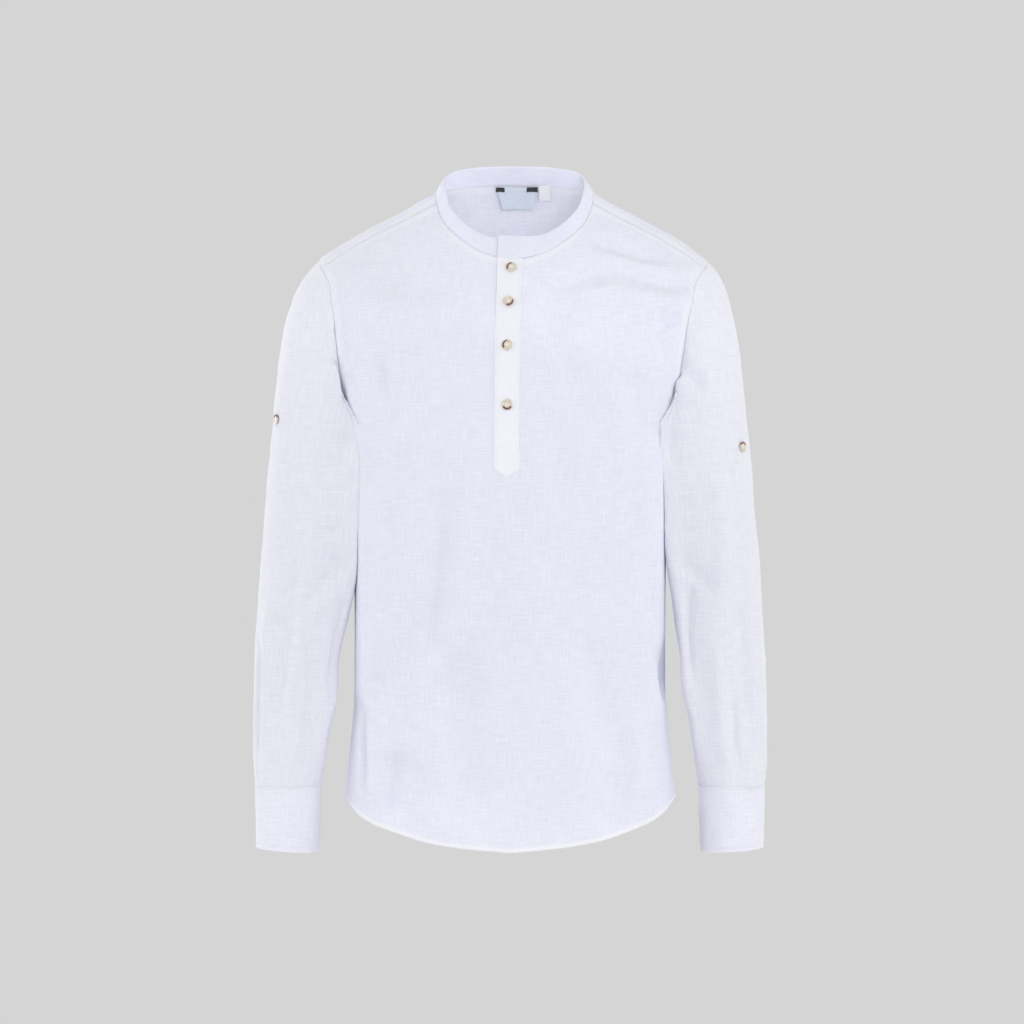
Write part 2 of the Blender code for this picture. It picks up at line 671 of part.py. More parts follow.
def tag_grid(tag):
    """A label inside the back of the neck, facing the front."""
    share, across = np.meshgrid(np.linspace(0, 1, 3), np.linspace(0, 1, 4), indexing="ij")
    left = tag.left_bottom + (tag.left_top - tag.left_bottom) * share
    right = tag.right_bottom + (tag.right_top - tag.right_bottom) * share
    drop = tag.bottom + (tag.top - tag.bottom) * share
    turn = math.pi - np.arcsin((left + (right - left) * across) / level(drop)[0])
    plain = on_section(turn, drop)
    normal = normal_at(plain)
    return worn(plain) - normal * (WALL + LIE_GAP + STRIP_WALL + TAG_SAG), normal


# ---------------------------------------------------------------- Blender objects


def material(name):
    made = bpy.data.materials.get(name)
    if made is None:
        (red, green, blue), roughness = COLOURS[name]
        made = bpy.data.materials.new(name)
        made.use_nodes = True
        shader = made.node_tree.nodes["Principled BSDF"]
        shader.inputs["Base Color"].default_value = (red, green, blue, 1)
        shader.inputs["Roughness"].default_value = roughness
        shader.inputs["Metallic"].default_value = 0
    return made


def add_wall(
    name, points, inward, thickness, collection, slot="shirt_cloth", closed=False, turned=False
):
    """A cloth wall, lofted through sections that each run along the outside and back along the
    inside. A closed one is a tube, and turned is for rows and columns that wind the other way."""
    build = bmesh.new()
    outside, inside = (
        [[build.verts.new(Vector(point) * MM) for point in row] for row in side]
        for side in (points, points + inward * thickness)
    )
    width = len(points[0])

    def add_faces(a, b, c, d):
        """Two faces, parted the same way on the outside and on the inside."""
        for corners in ((a, b, c), (a, c, d)):
            build.faces.new(corners[::-1] if turned else corners)

    for low, high, low_in, high_in in zip(outside, outside[1:], inside, inside[1:]):
        for i in range(width if closed else width - 1):
            j = (i + 1) % width
            add_faces(low[i], low[j], high[j], high[i])
            add_faces(high_in[j], low_in[j], low_in[i], high_in[i])
        if not closed:
            add_faces(low_in[0], low[0], high[0], high_in[0])
            add_faces(low[-1], low_in[-1], high_in[-1], high[-1])
    for i in range(width if closed else width - 1):
        j = (i + 1) % width
        add_faces(inside[0][i], inside[0][j], outside[0][j], outside[0][i])
        add_faces(outside[-1][i], outside[-1][j], inside[-1][j], inside[-1][i])
    mesh = bpy.data.meshes.new(name)
    build.to_mesh(mesh)
    build.free()
    mesh.materials.append(material(slot))
    mesh.shade_smooth()
    made = bpy.data.objects.new(name, mesh)
    collection.objects.link(made)
    return made


def pull_in(points, columns=True):
    """Draws a panel's edges in by half a seam's gap."""
    points = points.copy()
    for edge, inner in ((0, 1), (-1, -2)):
        points[edge] += unit(points[inner] - points[edge]) * SEAM_GAP / 2
        if columns:
            points[:, edge] += unit(points[:, inner] - points[:, edge]) * SEAM_GAP / 2
    return points


def button_mesh():
    """A turned button with a raised rim round a dished middle, its back at the origin."""
    r, t = BUTTON_RADIUS, BUTTON_THICKNESS
    profile = (
        (0, t - BUTTON_DISH),
        (r - BUTTON_RIM - BUTTON_SLOPE, t - BUTTON_DISH),
        (r - BUTTON_RIM, t),
        (r - BUTTON_CHAMFER, t),
        (r, t - BUTTON_CHAMFER),
        (r * BUTTON_BACK, 0),
        (0, 0),
    )
    build = bmesh.new()
    points = [build.verts.new((x * MM, 0, z * MM)) for x, z in profile]
    for first, second in zip(points, points[1:]):
        build.edges.new((first, second))
    mesh = bpy.data.meshes.new("button")
    build.to_mesh(mesh)
    build.free()
    mesh.materials.append(material("button"))
    return mesh


def add_button(name, mesh, place, normal, collection):
    """A button with its back on a place of the cloth, facing along the normal."""
    made = bpy.data.objects.new(name, mesh)
    collection.objects.link(made)
    screw = made.modifiers.new("turned", "SCREW")
    screw.steps = screw.render_steps = BUTTON_SIDES
    screw.use_merge_vertices = True
    screw.merge_threshold = 0.00005
    screw.use_smooth_shade = False
    made.location = Vector(place) * MM
    made.rotation_mode = "QUATERNION"
    made.rotation_quaternion = Vector((0, 0, 1)).rotation_difference(Vector(normal))


def add_slit(piece, top, bottom, normal, cutters):
    """Cuts a slit through a piece between two places, across the way the normal faces."""
    top, bottom, normal = Vector(top) * MM, Vector(bottom) * MM, Vector(normal)
    bpy.ops.mesh.primitive_cube_add(size=1)
    box = bpy.context.object
    box.name = f"{piece.name}_slit"
    along = (top - bottom).normalized()
    across = along.cross(normal).normalized()
    depth = across.cross(along)
    turn = Matrix((across, depth, along)).transposed().to_4x4()
    box.data.transform(Matrix.Diagonal((SLIT_WIDTH * MM, SLIT_DEPTH * MM, (top - bottom).length, 1)))
    box.matrix_world = Matrix.Translation((top + bottom) / 2) @ turn
    box.hide_render = True
    box.display_type = "WIRE"
    bpy.context.collection.objects.unlink(box)
    cutters.objects.link(box)
    cut = piece.modifiers.new("slit", "BOOLEAN")
    cut.operation = "DIFFERENCE"
    cut.object = box


def grid_place(points, inward, row, col, lift):
    """(a place above a grid's surface, the normal there)."""
    normal = -unit(between(inward, row, col))
    return between(points, row, col) + normal * lift, normal


def station_at(side, angle, drop):
    """The station where a sleeve passes a drop at an angle."""
    stations = np.linspace(0, LAST_RING, 90)
    drops = -sleeve_point(side, stations, np.full(stations.shape, angle))[:, 2]
    return float(np.interp(drop, drops, stations))


def build_body(shirt, cutters):
    front, front_in = front_panel()
    front_piece = add_wall("front", pull_in(front), front_in, WALL, shirt)
    middle = (len(front[0]) - 1) // 2
    top = front[-1, middle] + [0, 0, SLIT_PAST]
    bottom = between(front, row_at(front, middle, SLIT_BOTTOM), middle)
    normal = -front_in[len(front) - ARMHOLE_FRONT_STEPS // 2, middle]
    add_slit(front_piece, top, bottom, normal, cutters)
    back, back_in = back_panel()
    add_wall("back", pull_in(back), back_in, WALL, shirt)

    placket, placket_in = placket_grid(front, front_in, LIE_GAP + STRIP_WALL, PLACKET_BOTTOM)
    add_wall("placket", pull_in(placket), placket_in, STRIP_WALL, shirt)
    under, under_in = placket_grid(
        front, front_in, -WALL - LIE_GAP, PLACKET_BOTTOM - PLACKET_UNDER_SHORTER, PLACKET_UNDER_MARGIN
    )
    add_wall("placket_under", pull_in(under), under_in, STRIP_WALL, shirt)
    add_wall("collar_band", *band_grid(), BAND_WALL, shirt, turned=True)
    for tag in TAGS:
        add_wall(tag.name, *tag_grid(tag), STRIP_WALL, shirt, slot=tag.slot)

    button = button_mesh()
    for number, drop in enumerate(BUTTON_DROPS, start=1):
        row = row_at(placket, PLACKET_BUTTON_COLUMN, drop)
        place = grid_place(placket, placket_in, row, PLACKET_BUTTON_COLUMN, LIE_GAP)
        add_button(f"button_{number}", button, *place, shirt)


def build_sleeve(side, word, shirt, cutters):
    turned = side < 0
    sleeve, sleeve_in = sleeve_grid(side)
    piece = add_wall(
        f"sleeve_{word}", pull_in(sleeve, columns=False), sleeve_in, WALL, shirt, closed=True, turned=turned
    )
    add_wall(f"cuff_{word}", *cuff_grid(side), BAND_WALL, shirt, turned=turned)
    strip, strip_in = cuff_strip(sleeve, sleeve_in)
    add_wall(f"cuff_strip_{word}", pull_in(strip), strip_in, STRIP_WALL, shirt, turned=turned)
    bottom = strip[-1, 1] - [0, 0, SLIT_PAST]
    add_slit(piece, strip[1, 1], bottom, -strip_in[2, 1], cutters)

    button = bpy.data.meshes["button"]
    tab = next(tab for tab in TAB_BUTTONS if tab.side == side)
    angle = math.radians(tab.angle)
    station = station_at(side, angle, tab.drop)
    normal = sleeve_normal(side, np.array(station), np.array(angle))
    place = sleeve_point(side, station, angle) + normal * 2 * LIE_GAP
    add_button(f"tab_button_{word}", button, place, normal, shirt)
    cuff, cuff_in = cuff_grid(side)
    place = grid_place(cuff, cuff_in, CUFF_BUTTON_ROW, len(cuff[0]) - 2, 2 * LIE_GAP)
    add_button(f"cuff_button_{word}", button, *place, shirt)


def build_shirt():
    for old in list(bpy.data.objects):
        bpy.data.objects.remove(old)
    shirt = bpy.data.collections.new("band_collar_shirt")
    cutters = bpy.data.collections.new("cutters")
    for group in (shirt, cutters):
        bpy.context.scene.collection.children.link(group)
    build_body(shirt, cutters)
    for side, word in ((1, "left"), (-1, "right")):
        build_sleeve(side, word, shirt, cutters)


build_shirt()
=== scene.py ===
"""The looks of a man's white linen band-collar pullover shirt, hollow, in the form it takes when worn.

Every piece of cloth is a thin shell on its solid's own form, at a finer grid, with its creases, seams,
stitches and weave. Frame: metres, +Z up, the front faces -Y, +X is the wearer's left. Sizes are
millimetres until a mesh is made. A "drop" is a distance below the high shoulder points. The sleeves'
functions take a side: 1 is the wearer's left and -1 the right.
"""

import math
from collections import namedtuple

import bpy
import numpy as np
from mathutils import Matrix, Vector


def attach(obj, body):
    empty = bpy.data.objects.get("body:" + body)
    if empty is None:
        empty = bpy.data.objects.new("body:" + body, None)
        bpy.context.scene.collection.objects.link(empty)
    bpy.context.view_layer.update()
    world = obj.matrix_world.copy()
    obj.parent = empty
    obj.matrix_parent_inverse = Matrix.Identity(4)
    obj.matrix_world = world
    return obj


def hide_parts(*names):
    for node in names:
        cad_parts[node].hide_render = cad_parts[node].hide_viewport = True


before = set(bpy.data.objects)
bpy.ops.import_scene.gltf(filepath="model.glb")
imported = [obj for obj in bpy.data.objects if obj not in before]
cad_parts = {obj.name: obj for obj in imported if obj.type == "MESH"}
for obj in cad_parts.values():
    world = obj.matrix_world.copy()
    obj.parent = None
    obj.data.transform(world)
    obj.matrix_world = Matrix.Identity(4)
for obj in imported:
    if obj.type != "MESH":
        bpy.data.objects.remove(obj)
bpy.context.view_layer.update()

MM = 0.001
TURN = 2 * math.pi


def table(fields, *rows):
    """Rows of named values."""
    Row = namedtuple("Row", fields)
    return [Row(*row) for row in rows]


# ---------------------------------------------------------------- the form, as its solids have it

# The body's outline at each drop: half its width, how far its front and back reach from the
# shoulder line, where that line runs, and the power of its rounded-box section
BODY = table(
    "drop half_width front back tip_y power",
    (-20, 62, -10, 40, 10, 2.0),
    (-10, 73, -2, 46, 10, 2.0),
    (0, 85, 6, 52, 10, 2.0),
    (15, 109, 17.4, 60, 9.5, 2.0),
    (32, 141, 27.3, 67, 8.5, 2.0),
    (47, 169, 39.4, 74, 7.3, 2.0),
    (60, 191, 48.6, 79.5, 6, 2.0),
    (79, 215, 60, 87, 3, 2.1),
    (88, 221, 65, 91, 2, 2.4),
    (100, 220, 71, 95, 1, 2.8),
    (127, 218, 84.5, 103, 0, 3.2),
    (165, 207, 99, 111, 0, 3.2),
    (200, 194, 109, 116, 0, 3.1),
    (220, 187, 113, 117.5, 0, 3.0),
    (248, 180.5, 116.5, 118, 0, 2.85),
    (300, 175.5, 119, 115, 0, 2.7),
    (352, 173, 117.5, 111, 0, 2.6),
    (420, 171, 114, 108, 0, 2.6),
    (500, 170.5, 112, 108, 0, 2.5),
    (560, 171, 112, 110, 0, 2.5),
    (616, 176, 112.5, 112, 0, 2.5),
    (665, 180.5, 113, 114, 0, 2.5),
    (740, 186, 114.5, 116, 0, 2.5),
)
NECK_SHIFT = 5  # the neck sits this far towards the wearer's left of the body's middle
NECK_SHIFT_END = 220  # drop at which that shift has faded out
SHOULDER_CORE_DROP = 165  # of the line inside the shoulders that their points are set out from
CORE_SHARE = 0.95  # of a point's distance from the middle, where the line that sets it out starts
WIDEST_SHARE = 0.9997  # of the half width, past which a point's depth is no longer read
HALVINGS = 26  # with which a point on the form is found
PLAN_DROP = 200  # below anything that is found from its place in plan

# Neck seam, an oval in plan, and armhole seam, an oval seen from the side
NECK_HALF_WIDTH = 87
NECK_MID_Y = 4
NECK_FRONT = 64
NECK_BACK = 42
ARMHOLE_TOP = 80
ARMHOLE_BOTTOM = 248
ARMHOLE_FRONT = 64
ARMHOLE_BACK = 62
ARMHOLE_MIDDLE = (ARMHOLE_BOTTOM + ARMHOLE_TOP) / 2
ARMHOLE_HALF = (ARMHOLE_BOTTOM - ARMHOLE_TOP) / 2
ARMHOLE_RADIUS = 85  # about, along its seam
SHOULDER_SEAM = 140  # about how long it is
SHOULDER_NECK_ANGLE = math.radians(80)  # where the shoulder seam leaves the neck seam
SHOULDER_ARM_ANGLE = math.radians(25.2)  # and where it meets the armhole, in front of its top

# Shirt-tail hem: how far it rises at shares of the half width from the centre to the side seam
HEM = table("share rise", (0, 0), (0.3, 5), (0.53, 12.5), (0.71, 22), (0.84, 31), (0.93, 41), (1, 54))
FRONT_LENGTH = 719
BACK_LENGTH = 731
SIDE_LENGTH = 665

# The largest folds of the body, which its solids have too
FOLD_FIELDS = "foot_x foot_drop head_x head_drop width height"
FRONT_FOLDS = table(
    FOLD_FIELDS,
    (-118, 715, -96, 470, 17, -4.5),
    (-142, 700, -128, 520, 13, 4.0),
    (-84, 740, -70, 560, 15, 3.5),
    (128, 715, 120, 480, 18, -3.5),
    (96, 730, 92, 600, 14, 3.0),
    (150, 300, 60, 118, 20, -3.0),
    (-150, 330, -78, 150, 24, -3.5),
)
BACK_FOLDS = table(
    FOLD_FIELDS,
    (-66, 735, -52, 330, 22, -5.0),
    (58, 735, 64, 360, 24, -5.0),
    (0, 735, 4, 420, 22, 3.5),
    (-124, 710, -112, 480, 18, 4.0),
    (120, 710, 110, 500, 18, 3.5),
)
FOLDS = {"front": FRONT_FOLDS, "back": BACK_FOLDS}

# Collar band: where its top edge lies from the seam, at angles round the neck from the centre front
BAND = table(
    "angle inward towards_back rise",
    (0, 0, 13, 22.5),
    (25, 2.5, 11, 19),
    (50, 6, 2, 16),
    (67, 7.5, -3.5, 15.5),
    (80, 9, -3, 16),
    (90, 9.5, 0, 15.7),
    (105, 9, 3, 17.5),
    (122, 7, 0.5, 20),
    (145, 4, -7.5, 20.2),
    (180, 0, -13, 19.6),
)
BAND_OVER = 17  # how far the upper end of the band passes the centre front
BAND_UNDER = 10  # how far the end under it passes the other way
BAND_OVER_ANGLE = math.asin(BAND_OVER / NECK_HALF_WIDTH)
BAND_CORNER = 3.2  # rounding of its upper corners
BAND_END_RISE = 2.6  # how much taller that end stands
BAND_LIFT_ANGLES = (math.radians(330), math.radians(350))  # where the upper end lifts off the neck
# Creases across the band: its angle, how far it leans up to the top edge and its width, in degrees
BAND_DENTS = table("angle lean width depth", (232, 5, 1.8, 0.9), (246, 6, 1.6, 0.7), (129, -5, 2.2, 0.8))

# Front placket
PLACKET_BOTTOM = 308.5  # drop of its square corners
PLACKET_POINT = 9  # how much lower its tip is
PLACKET_EDGES = (-1.0, 0.6)  # its sides, as shares of the part of the front above it
PLACKET_GAPE = 1.3  # how far its free edge stands open near the top
UNDER_SHORTER = 4  # how much shorter the strip behind it is
UNDER_WIDTH = 0.94  # and its share of the width

# Sleeve: its outer and inner outline, its middle and half its depth, from the armhole to the cuff
SLEEVE = table(
    "outer_x outer_drop inner_x inner_drop mid_y half_depth",
    (216, 80, 180.5, 248, 0, 64),
    (226, 92, 181, 253, 0, 65.5),
    (236, 110, 180.3, 261, -1, 67.5),
    (245, 138, 179, 272, -1, 69),
    (252, 175, 178, 290, -1, 69),
    (258, 228, 177.2, 318, 0, 67),
    (265, 300, 176.6, 362, 2, 63.5),
    (271.5, 375, 176.4, 412, 3, 59.5),
    (277, 450, 178, 462, 2, 56),
    (281, 520, 187, 522, -3, 52.5),
    (281.8, 580, 195, 580, -12, 48),
    (280.2, 630, 201.5, 630, -20, 44),
    (278.3, 656.5, 207, 656.5, -24, 41),
)
LAST_RING = len(SLEEVE) - 1
SLEEVE_BLEND = 4  # rings over which the armhole's own form fades into the sleeve's ovals
SLEEVE_CLEARANCE = 0.6  # between the sleeve and the body's side
SEAM_GAP = 0.3
SLEEVE_RADIUS = 50  # about, for its grain

# How the front of a sleeve's inner side is laid against the body, as (outwards, back, up): close above
# where the two part, flat all the way down, and the underside leaning away lower down
SLEEVE_PARTS = {1: 478, -1: 515}  # drop at which each sleeve parts from the body
CLOSE_MOVE = (-13, -12, 0)
FLAT_MOVE = (-2.5, -13, 0)
LEAN_MOVE = (3.2, 0, 0)
FLAT_START = 165  # drop at which sleeve and front start to lie flat beside each other
FLAT_FORWARD = 10  # how far forward the front stays there

# Rolls of sleeve cloth: angle round the sleeve, first and last ring, half width, forward, inward
ROLL_FIELDS = "angle first last width forward inward"
LEFT_ROLLS = table(
    ROLL_FIELDS,
    (135, 0.2, 6.5, 24, 10, 15),
    (62, 3.0, 8.5, 16, -4, 0),
    (150, 6.0, 11.0, 20, 4, 0),
)
RIGHT_ROLLS = table(
    ROLL_FIELDS,
    (135, 0.2, 8.5, 24, 8, 14),
    (66, 2.5, 9.5, 16, -4, 0),
    (140, 6.5, 11.5, 20, 4, 0),
)
ROLLS = {1: LEFT_ROLLS, -1: RIGHT_ROLLS}

# Cuffs
CUFF_LENGTH = 66
CUFF_RADIUS = 38  # about, for its unevenness
CUFF_BOTTOM_IN = 1.5  # how much narrower each side of the cuff is at the bottom
CUFF_SLOPE = 2.3  # how much higher its lower edge is on the outer side, and lower on the inner one
CUFF_OPENING = math.pi + (math.pi + SHOULDER_ARM_ANGLE) * 2 / 13
CUFF_OVERLAP = math.radians(30)
CUFF_STRIP_HALF = (math.pi + SHOULDER_ARM_ANGLE) / 13  # half the width of the sleeve's placket
CUFF_STRIP_START = 8.81  # the station of its upper end
CUFF_OVER_SLEEVE = 5  # how far the cuff laps over the end of the sleeve

# Buttons
TAB_BUTTONS = table("drop angle", (283, 40), (253, 31))  # the left one, then the right one

# Neck label, its tape tabs and the size tag, from the neck's middle
TAGS = table(
    "name slot left_top right_top left_bottom right_bottom top bottom",
    ("neck_label", "label", -23, 25, -15.5, 18.5, -6.8, 17),
    ("label_tab_right", "tape", -23, -13, -23, -13, -7.4, -3),
    ("label_tab_left", "tape", 12.5, 25, 12.5, 25, -7.6, -3),
    ("size_tag", "tag", 26, 39.5, 27, 40, -8.6, 7.5),
)
TAG_RISE = 2.0  # how much nearer the seam than their solids they hang
TAG_ASIDE = 1.6  # and how much further towards the wearer's left
TAG_OFF = 4.9  # from the body's plain form to the labels' faces
TAG_WALL = 0.6

# ---------------------------------------------------------------- the cloth, finer than its solids

SHELL = 0.9  # thickness of one layer of cloth with its seam allowances
BAND_WALL = 1.8
STRIP_WALL = 1.0
LAP_LIFT = BAND_WALL + 0.45  # how far a lapping end stands off

# How many faces each stretch of a fine grid has
PLACKET_COLUMNS = 5  # from the centre to the placket's edge
NECK_FRONT_STEPS = 33
NECK_BACK_STEPS = 36
SHOULDER_STEPS = 41
SIDE_STEPS = 132
ARMHOLE_FRONT_STEPS = 78
ARMHOLE_BACK_STEPS = 104
SLEEVE_ROWS = 190
SLEEVE_COLUMNS = 110
BAND_ROWS = 10
CUFF_ROWS = 30
CUFF_COLUMNS = 96
EVEN_STATIONS = LAST_RING * np.linspace(0, 1, SLEEVE_ROWS + 1) ** 1.1  # a little closer at the armhole
PLACKET_GRID = (110, 17)  # points along and across the small pieces
STRIP_GRID = (44, 9)
TAG_GRID = (13, 19)
EDGE_STEPS = (2.4, 1.1)  # distances from a seam of the rows that shape it
HEM_STEPS = (0, 1.2, 2.6, 4.2, 5.3, 6.3, 8)  # and of those that shape the hem
HEM_WIDTH = 5.6
HEM_STITCHES = HEM_WIDTH - 0.6
SEAM_GROOVE = 0.3
SEAM_REACH = 9  # how far from a seam its allowance holds the cloth flat

# Creases, as soft ridges (height over 0) or troughs, and on the back the other way round. Across is the
# distance from the middle of a panel, or on a sleeve the angle in degrees, where a degree is about a
# millimetre. Bow bends the crease sideways, and skew makes one of its flanks the steeper
CREASE_STRENGTH = 2.1  # times the heights in the table
CREASE_SPREAD = 1.35  # and its widths
CREASE_END = 0.3  # share of its length over which a crease fades out
CREASE_FIELDS = "across_1 drop_1 across_2 drop_2 bow width skew height"
FRONT_CREASES = table(
    CREASE_FIELDS,
    # drag lines from the neck to the wearer's left armhole
    (78, 54, 170, 80, -4, 6, 0.2, -2.7),
    (74, 66, 180, 95, -5, 6, 0.0, 2.4),
    (100, 86, 202, 110, -5, 6, 0.2, -3),
    (62, 98, 200, 128, -6, 7, 0.0, 2.7),
    (30, 112, 118, 100, 3, 8, 0.0, -2.4),
    # and towards the right one
    (-60, 92, -172, 96, 5, 13, 0.0, -1.5),
    (-66, 118, -168, 134, 4, 13, 0.2, 1.4),
    # puckers at the armholes
    (158, 162, 188, 140, 1, 3.4, 0.3, -3.3),
    (160, 148, 186, 128, 1, 4.0, 0.0, 2.4),
    (156, 182, 184, 163, 1, 4.0, 0.0, -2.1),
    (-172, 184, -192, 150, -1, 3.6, 0.0, -2),
    (-164, 218, -184, 176, -2, 5.0, 0.2, 1.8),
    # the chest
    (-104, 98, -56, 176, 2, 17, 0.0, -3.9),
    (-74, 90, -60, 262, -4, 19, 0.0, 3.9),
    (-143, 174, -127, 256, 2, 8, 0.3, -4.2),
    (-116, 158, -121, 312, 3, 13, 0.0, 3.6),
    (-150, 230, -146, 352, 0, 9, 0.0, -2.4),
    (26, 116, 88, 226, -5, 12, 0.2, -3.9),
    (54, 134, 124, 262, -6, 15, 0.0, 4.2),
    (126, 192, 158, 294, -3, 12, 0.2, -3.9),
    (146, 210, 156, 420, -3, 9, 0.0, 2.7),
    (-20, 110, -22, 318, 0, 7, 0.3, -1.4),
    (40, 236, 58, 372, 3, 15, 0.0, -2.7),
    # the waist and tails
    (-70, 296, -94, 548, 6, 13, 0.2, -4.8),
    (-98, 316, -142, 548, 8, 15, 0.0, 4.8),
    (-46, 334, -62, 530, 4, 15, 0.0, 3.9),
    (-144, 528, -141, 564, 0, 5, 0.0, -3),
    (-166, 546, -160, 668, 3, 4.5, 0.3, -3.6),
    (-155, 558, -150, 684, 2, 5, 0.0, 3),
    (-118, 606, -134, 694, 0, 12, 0.2, -6),
    (-92, 496, -100, 660, 3, 12, 0.0, 4.2),
    (-52, 492, -40, 712, -4, 23, 0.0, -6.3),
    (16, 350, 54, 706, 6, 29, 0.0, 4.8),
    (80, 470, 122, 650, -5, 15, 0.2, -4.2),
    (157, 466, 171, 566, 2, 8, 0.3, -4.5),
    (145, 446, 152, 606, 2, 9, 0.0, 3.6),
    (112, 622, 103, 708, 0, 10, 0.2, -3.6),
    (136, 560, 142, 690, 0, 10, 0.0, 3.3),
)
BACK_CREASES = table(
    CREASE_FIELDS,
    (-150, 176, -70, 262, -8, 11.5, 0.3, -3.8),
    (152, 172, 74, 270, 8, 11.5, -0.3, -3.8),
    (-160, 206, -90, 330, -6, 9.2, 0.0, 2.8),
    (160, 200, 92, 336, 6, 10.3, 0.0, 2.8),
    (-120, 92, -30, 74, 5, 10.3, 0.0, -1.9),
    (118, 94, 36, 76, -5, 10.3, 0.0, -1.9),
    (-30, 250, -42, 520, 6, 13.8, 0.3, 3.1),
    (34, 262, 40, 560, -6, 14.9, -0.3, 2.8),
    (-4, 300, 2, 480, 3, 11.5, 0.0, -2.6),
    (-96, 360, -88, 650, -5, 10.3, 0.4, 3.1),
    (94, 380, 90, 668, 5, 10.3, -0.4, 3.1),
    (-142, 420, -150, 640, 4, 8, 0.2, -2.8),
    (140, 400, 150, 650, -4, 8, 0.2, -2.8),
    (-22, 560, -30, 722, -2, 9.2, 0.3, -2.8),
    (26, 575, 24, 724, 2, 9.2, 0.3, -2.6),
    (-120, 300, -40, 372, 6, 9.2, 0.2, -2.2),
    (118, 320, 48, 392, -6, 9.2, 0.2, -2.2),
)
RIGHT_SLEEVE_CREASES = table(
    CREASE_FIELDS,
    (108, 128, 98, 240, 4, 10.3, 0.2, 2.7),
    (124, 140, 116, 330, 5, 6.9, 0.4, -3.6),
    (82, 120, 76, 300, -4, 10.3, 0.0, -2.1),
    (46, 150, 58, 330, 3, 10.3, 0.3, -2.3),
    (100, 300, 92, 470, 4, 9.2, 0.2, 2.7),
    (78, 360, 68, 610, 5, 9.2, -0.3, -3.1),
    (54, 400, 50, 630, -4, 10.3, 0.2, 3.1),
    (128, 420, 148, 560, 4, 6.9, 0.4, -4),
    (144, 450, 158, 600, 3, 6.9, 0.0, 2.7),
    (108, 500, 102, 640, 3, 8, 0.2, -2.3),
    (96, 440, 146, 404, 4, 6.9, 0.3, -3.1),
    (92, 470, 150, 442, 5, 6.9, -0.2, 2.5),
    (30, 480, 26, 640, 2, 8, 0.2, -2.7),
    (270, 150, 286, 330, 6, 11.5, 0.2, -3.4),
    (306, 180, 300, 360, -5, 10.3, 0.2, 2.7),
    (240, 300, 262, 460, 5, 10.3, 0.2, 3),
    (330, 330, 300, 420, 4, 8, 0.3, -2.7),
    (286, 420, 252, 480, -4, 8, -0.3, -3.1),
    (296, 470, 280, 620, 4, 10.3, 0.2, 2.7),
    (318, 520, 312, 640, -3, 8, 0.2, -2.5),
)
LEFT_SLEEVE_CREASES = table(
    CREASE_FIELDS,
    (104, 120, 94, 215, 4, 10.3, 0.2, 3),
    (128, 150, 132, 330, -4, 6.9, 0.4, -3.9),
    (96, 226, 128, 176, 3, 6.9, 0.3, -3),
    (92, 250, 130, 206, 3, 6.9, -0.2, 2.3),
    (70, 140, 62, 310, -4, 11.5, 0.0, -1.6),
    (110, 270, 106, 450, 5, 12, 0.2, 1.2),
    (86, 290, 76, 470, -4, 10.3, 0.2, 2.7),
    (56, 380, 60, 620, 4, 10.3, 0.3, -2.7),
    (118, 420, 142, 540, 4, 6.9, 0.4, -4),
    (134, 440, 156, 590, 4, 6.9, 0.0, 3),
    (98, 480, 104, 640, -3, 9.2, 0.2, 2.7),
    (90, 446, 148, 408, 4, 6.9, 0.3, -2.7),
    (84, 520, 78, 645, 3, 6.9, 0.2, -2.7),
    (34, 430, 40, 640, 3, 9.2, 0.2, 2.3),
    (272, 160, 290, 350, -6, 11.5, 0.2, -3.4),
    (308, 170, 304, 350, 5, 10.3, 0.2, 2.7),
    (244, 310, 258, 450, -5, 10.3, 0.2, 3),
    (326, 340, 294, 430, -4, 8, 0.3, -2.7),
    (282, 410, 248, 470, 4, 8, -0.3, -3.1),
    (292, 480, 284, 620, -4, 10.3, 0.2, 2.7),
    (316, 500, 318, 640, 3, 8, 0.2, -2.5),
)
CREASES = {
    "front": FRONT_CREASES,
    "back": BACK_CREASES,
    "sleeve_right": RIGHT_SLEEVE_CREASES,
    "sleeve_left": LEFT_SLEEVE_CREASES,
}

# Pleats above the cuffs: the angle and drop where the edge of each starts and where it meets the cuff
PLEAT_STEP = 2.2  # how wide the step down at its edge is
PLEAT_FIELDS = "angle_top drop_top angle_foot width height"
RIGHT_PLEATS = table(
    PLEAT_FIELDS,
    (14, 590, 38, 11, 2.2),
    (92, 604, 98, 10, 1.5),
    (300, 596, 304, 10, 1.8),
)
LEFT_PLEATS = table(
    PLEAT_FIELDS,
    (10, 596, 24, 11, 2.0),
    (62, 600, 66, 10, 1.6),
    (304, 594, 308, 10, 1.8),
)
PLEATS = {"sleeve_right": RIGHT_PLEATS, "sleeve_left": LEFT_PLEATS}


# ---------------------------------------------------------------- curves and the body's plain form


def smooth(stations, values, at):
    """A smooth curve through (stations, values) that doesn't overshoot them."""
    stations, values = np.asarray(stations, float), np.asarray(values, float)
    at = np.clip(np.asarray(at, float), stations[0], stations[-1])
    steps = np.diff(stations)
    rises = np.diff(values) / steps
    turning = rises[:-1] * rises[1:]
    inner = np.where(turning > 0, 2 * turning / (rises[:-1] + rises[1:] + 1e-12), 0)
    slopes = np.concatenate(([rises[0]], inner, [rises[-1]]))
    i = np.clip(np.searchsorted(stations, at) - 1, 0, len(steps) - 1)
    u = (at - stations[i]) / steps[i]
    ends = values[i] * (1 + 2 * u) * (1 - u) ** 2 + values[i + 1] * u * u * (3 - 2 * u)
    return ends + steps[i] * (slopes[i] * u * (1 - u) ** 2 + slopes[i + 1] * u * u * (u - 1))


def read(rows, at):
    """A table's other columns, read smoothly at a value of its first."""
    key, *columns = np.array(rows, float).T
    return [smooth(key, column, at) for column in columns]


def level(drop):
    return read(BODY, drop)


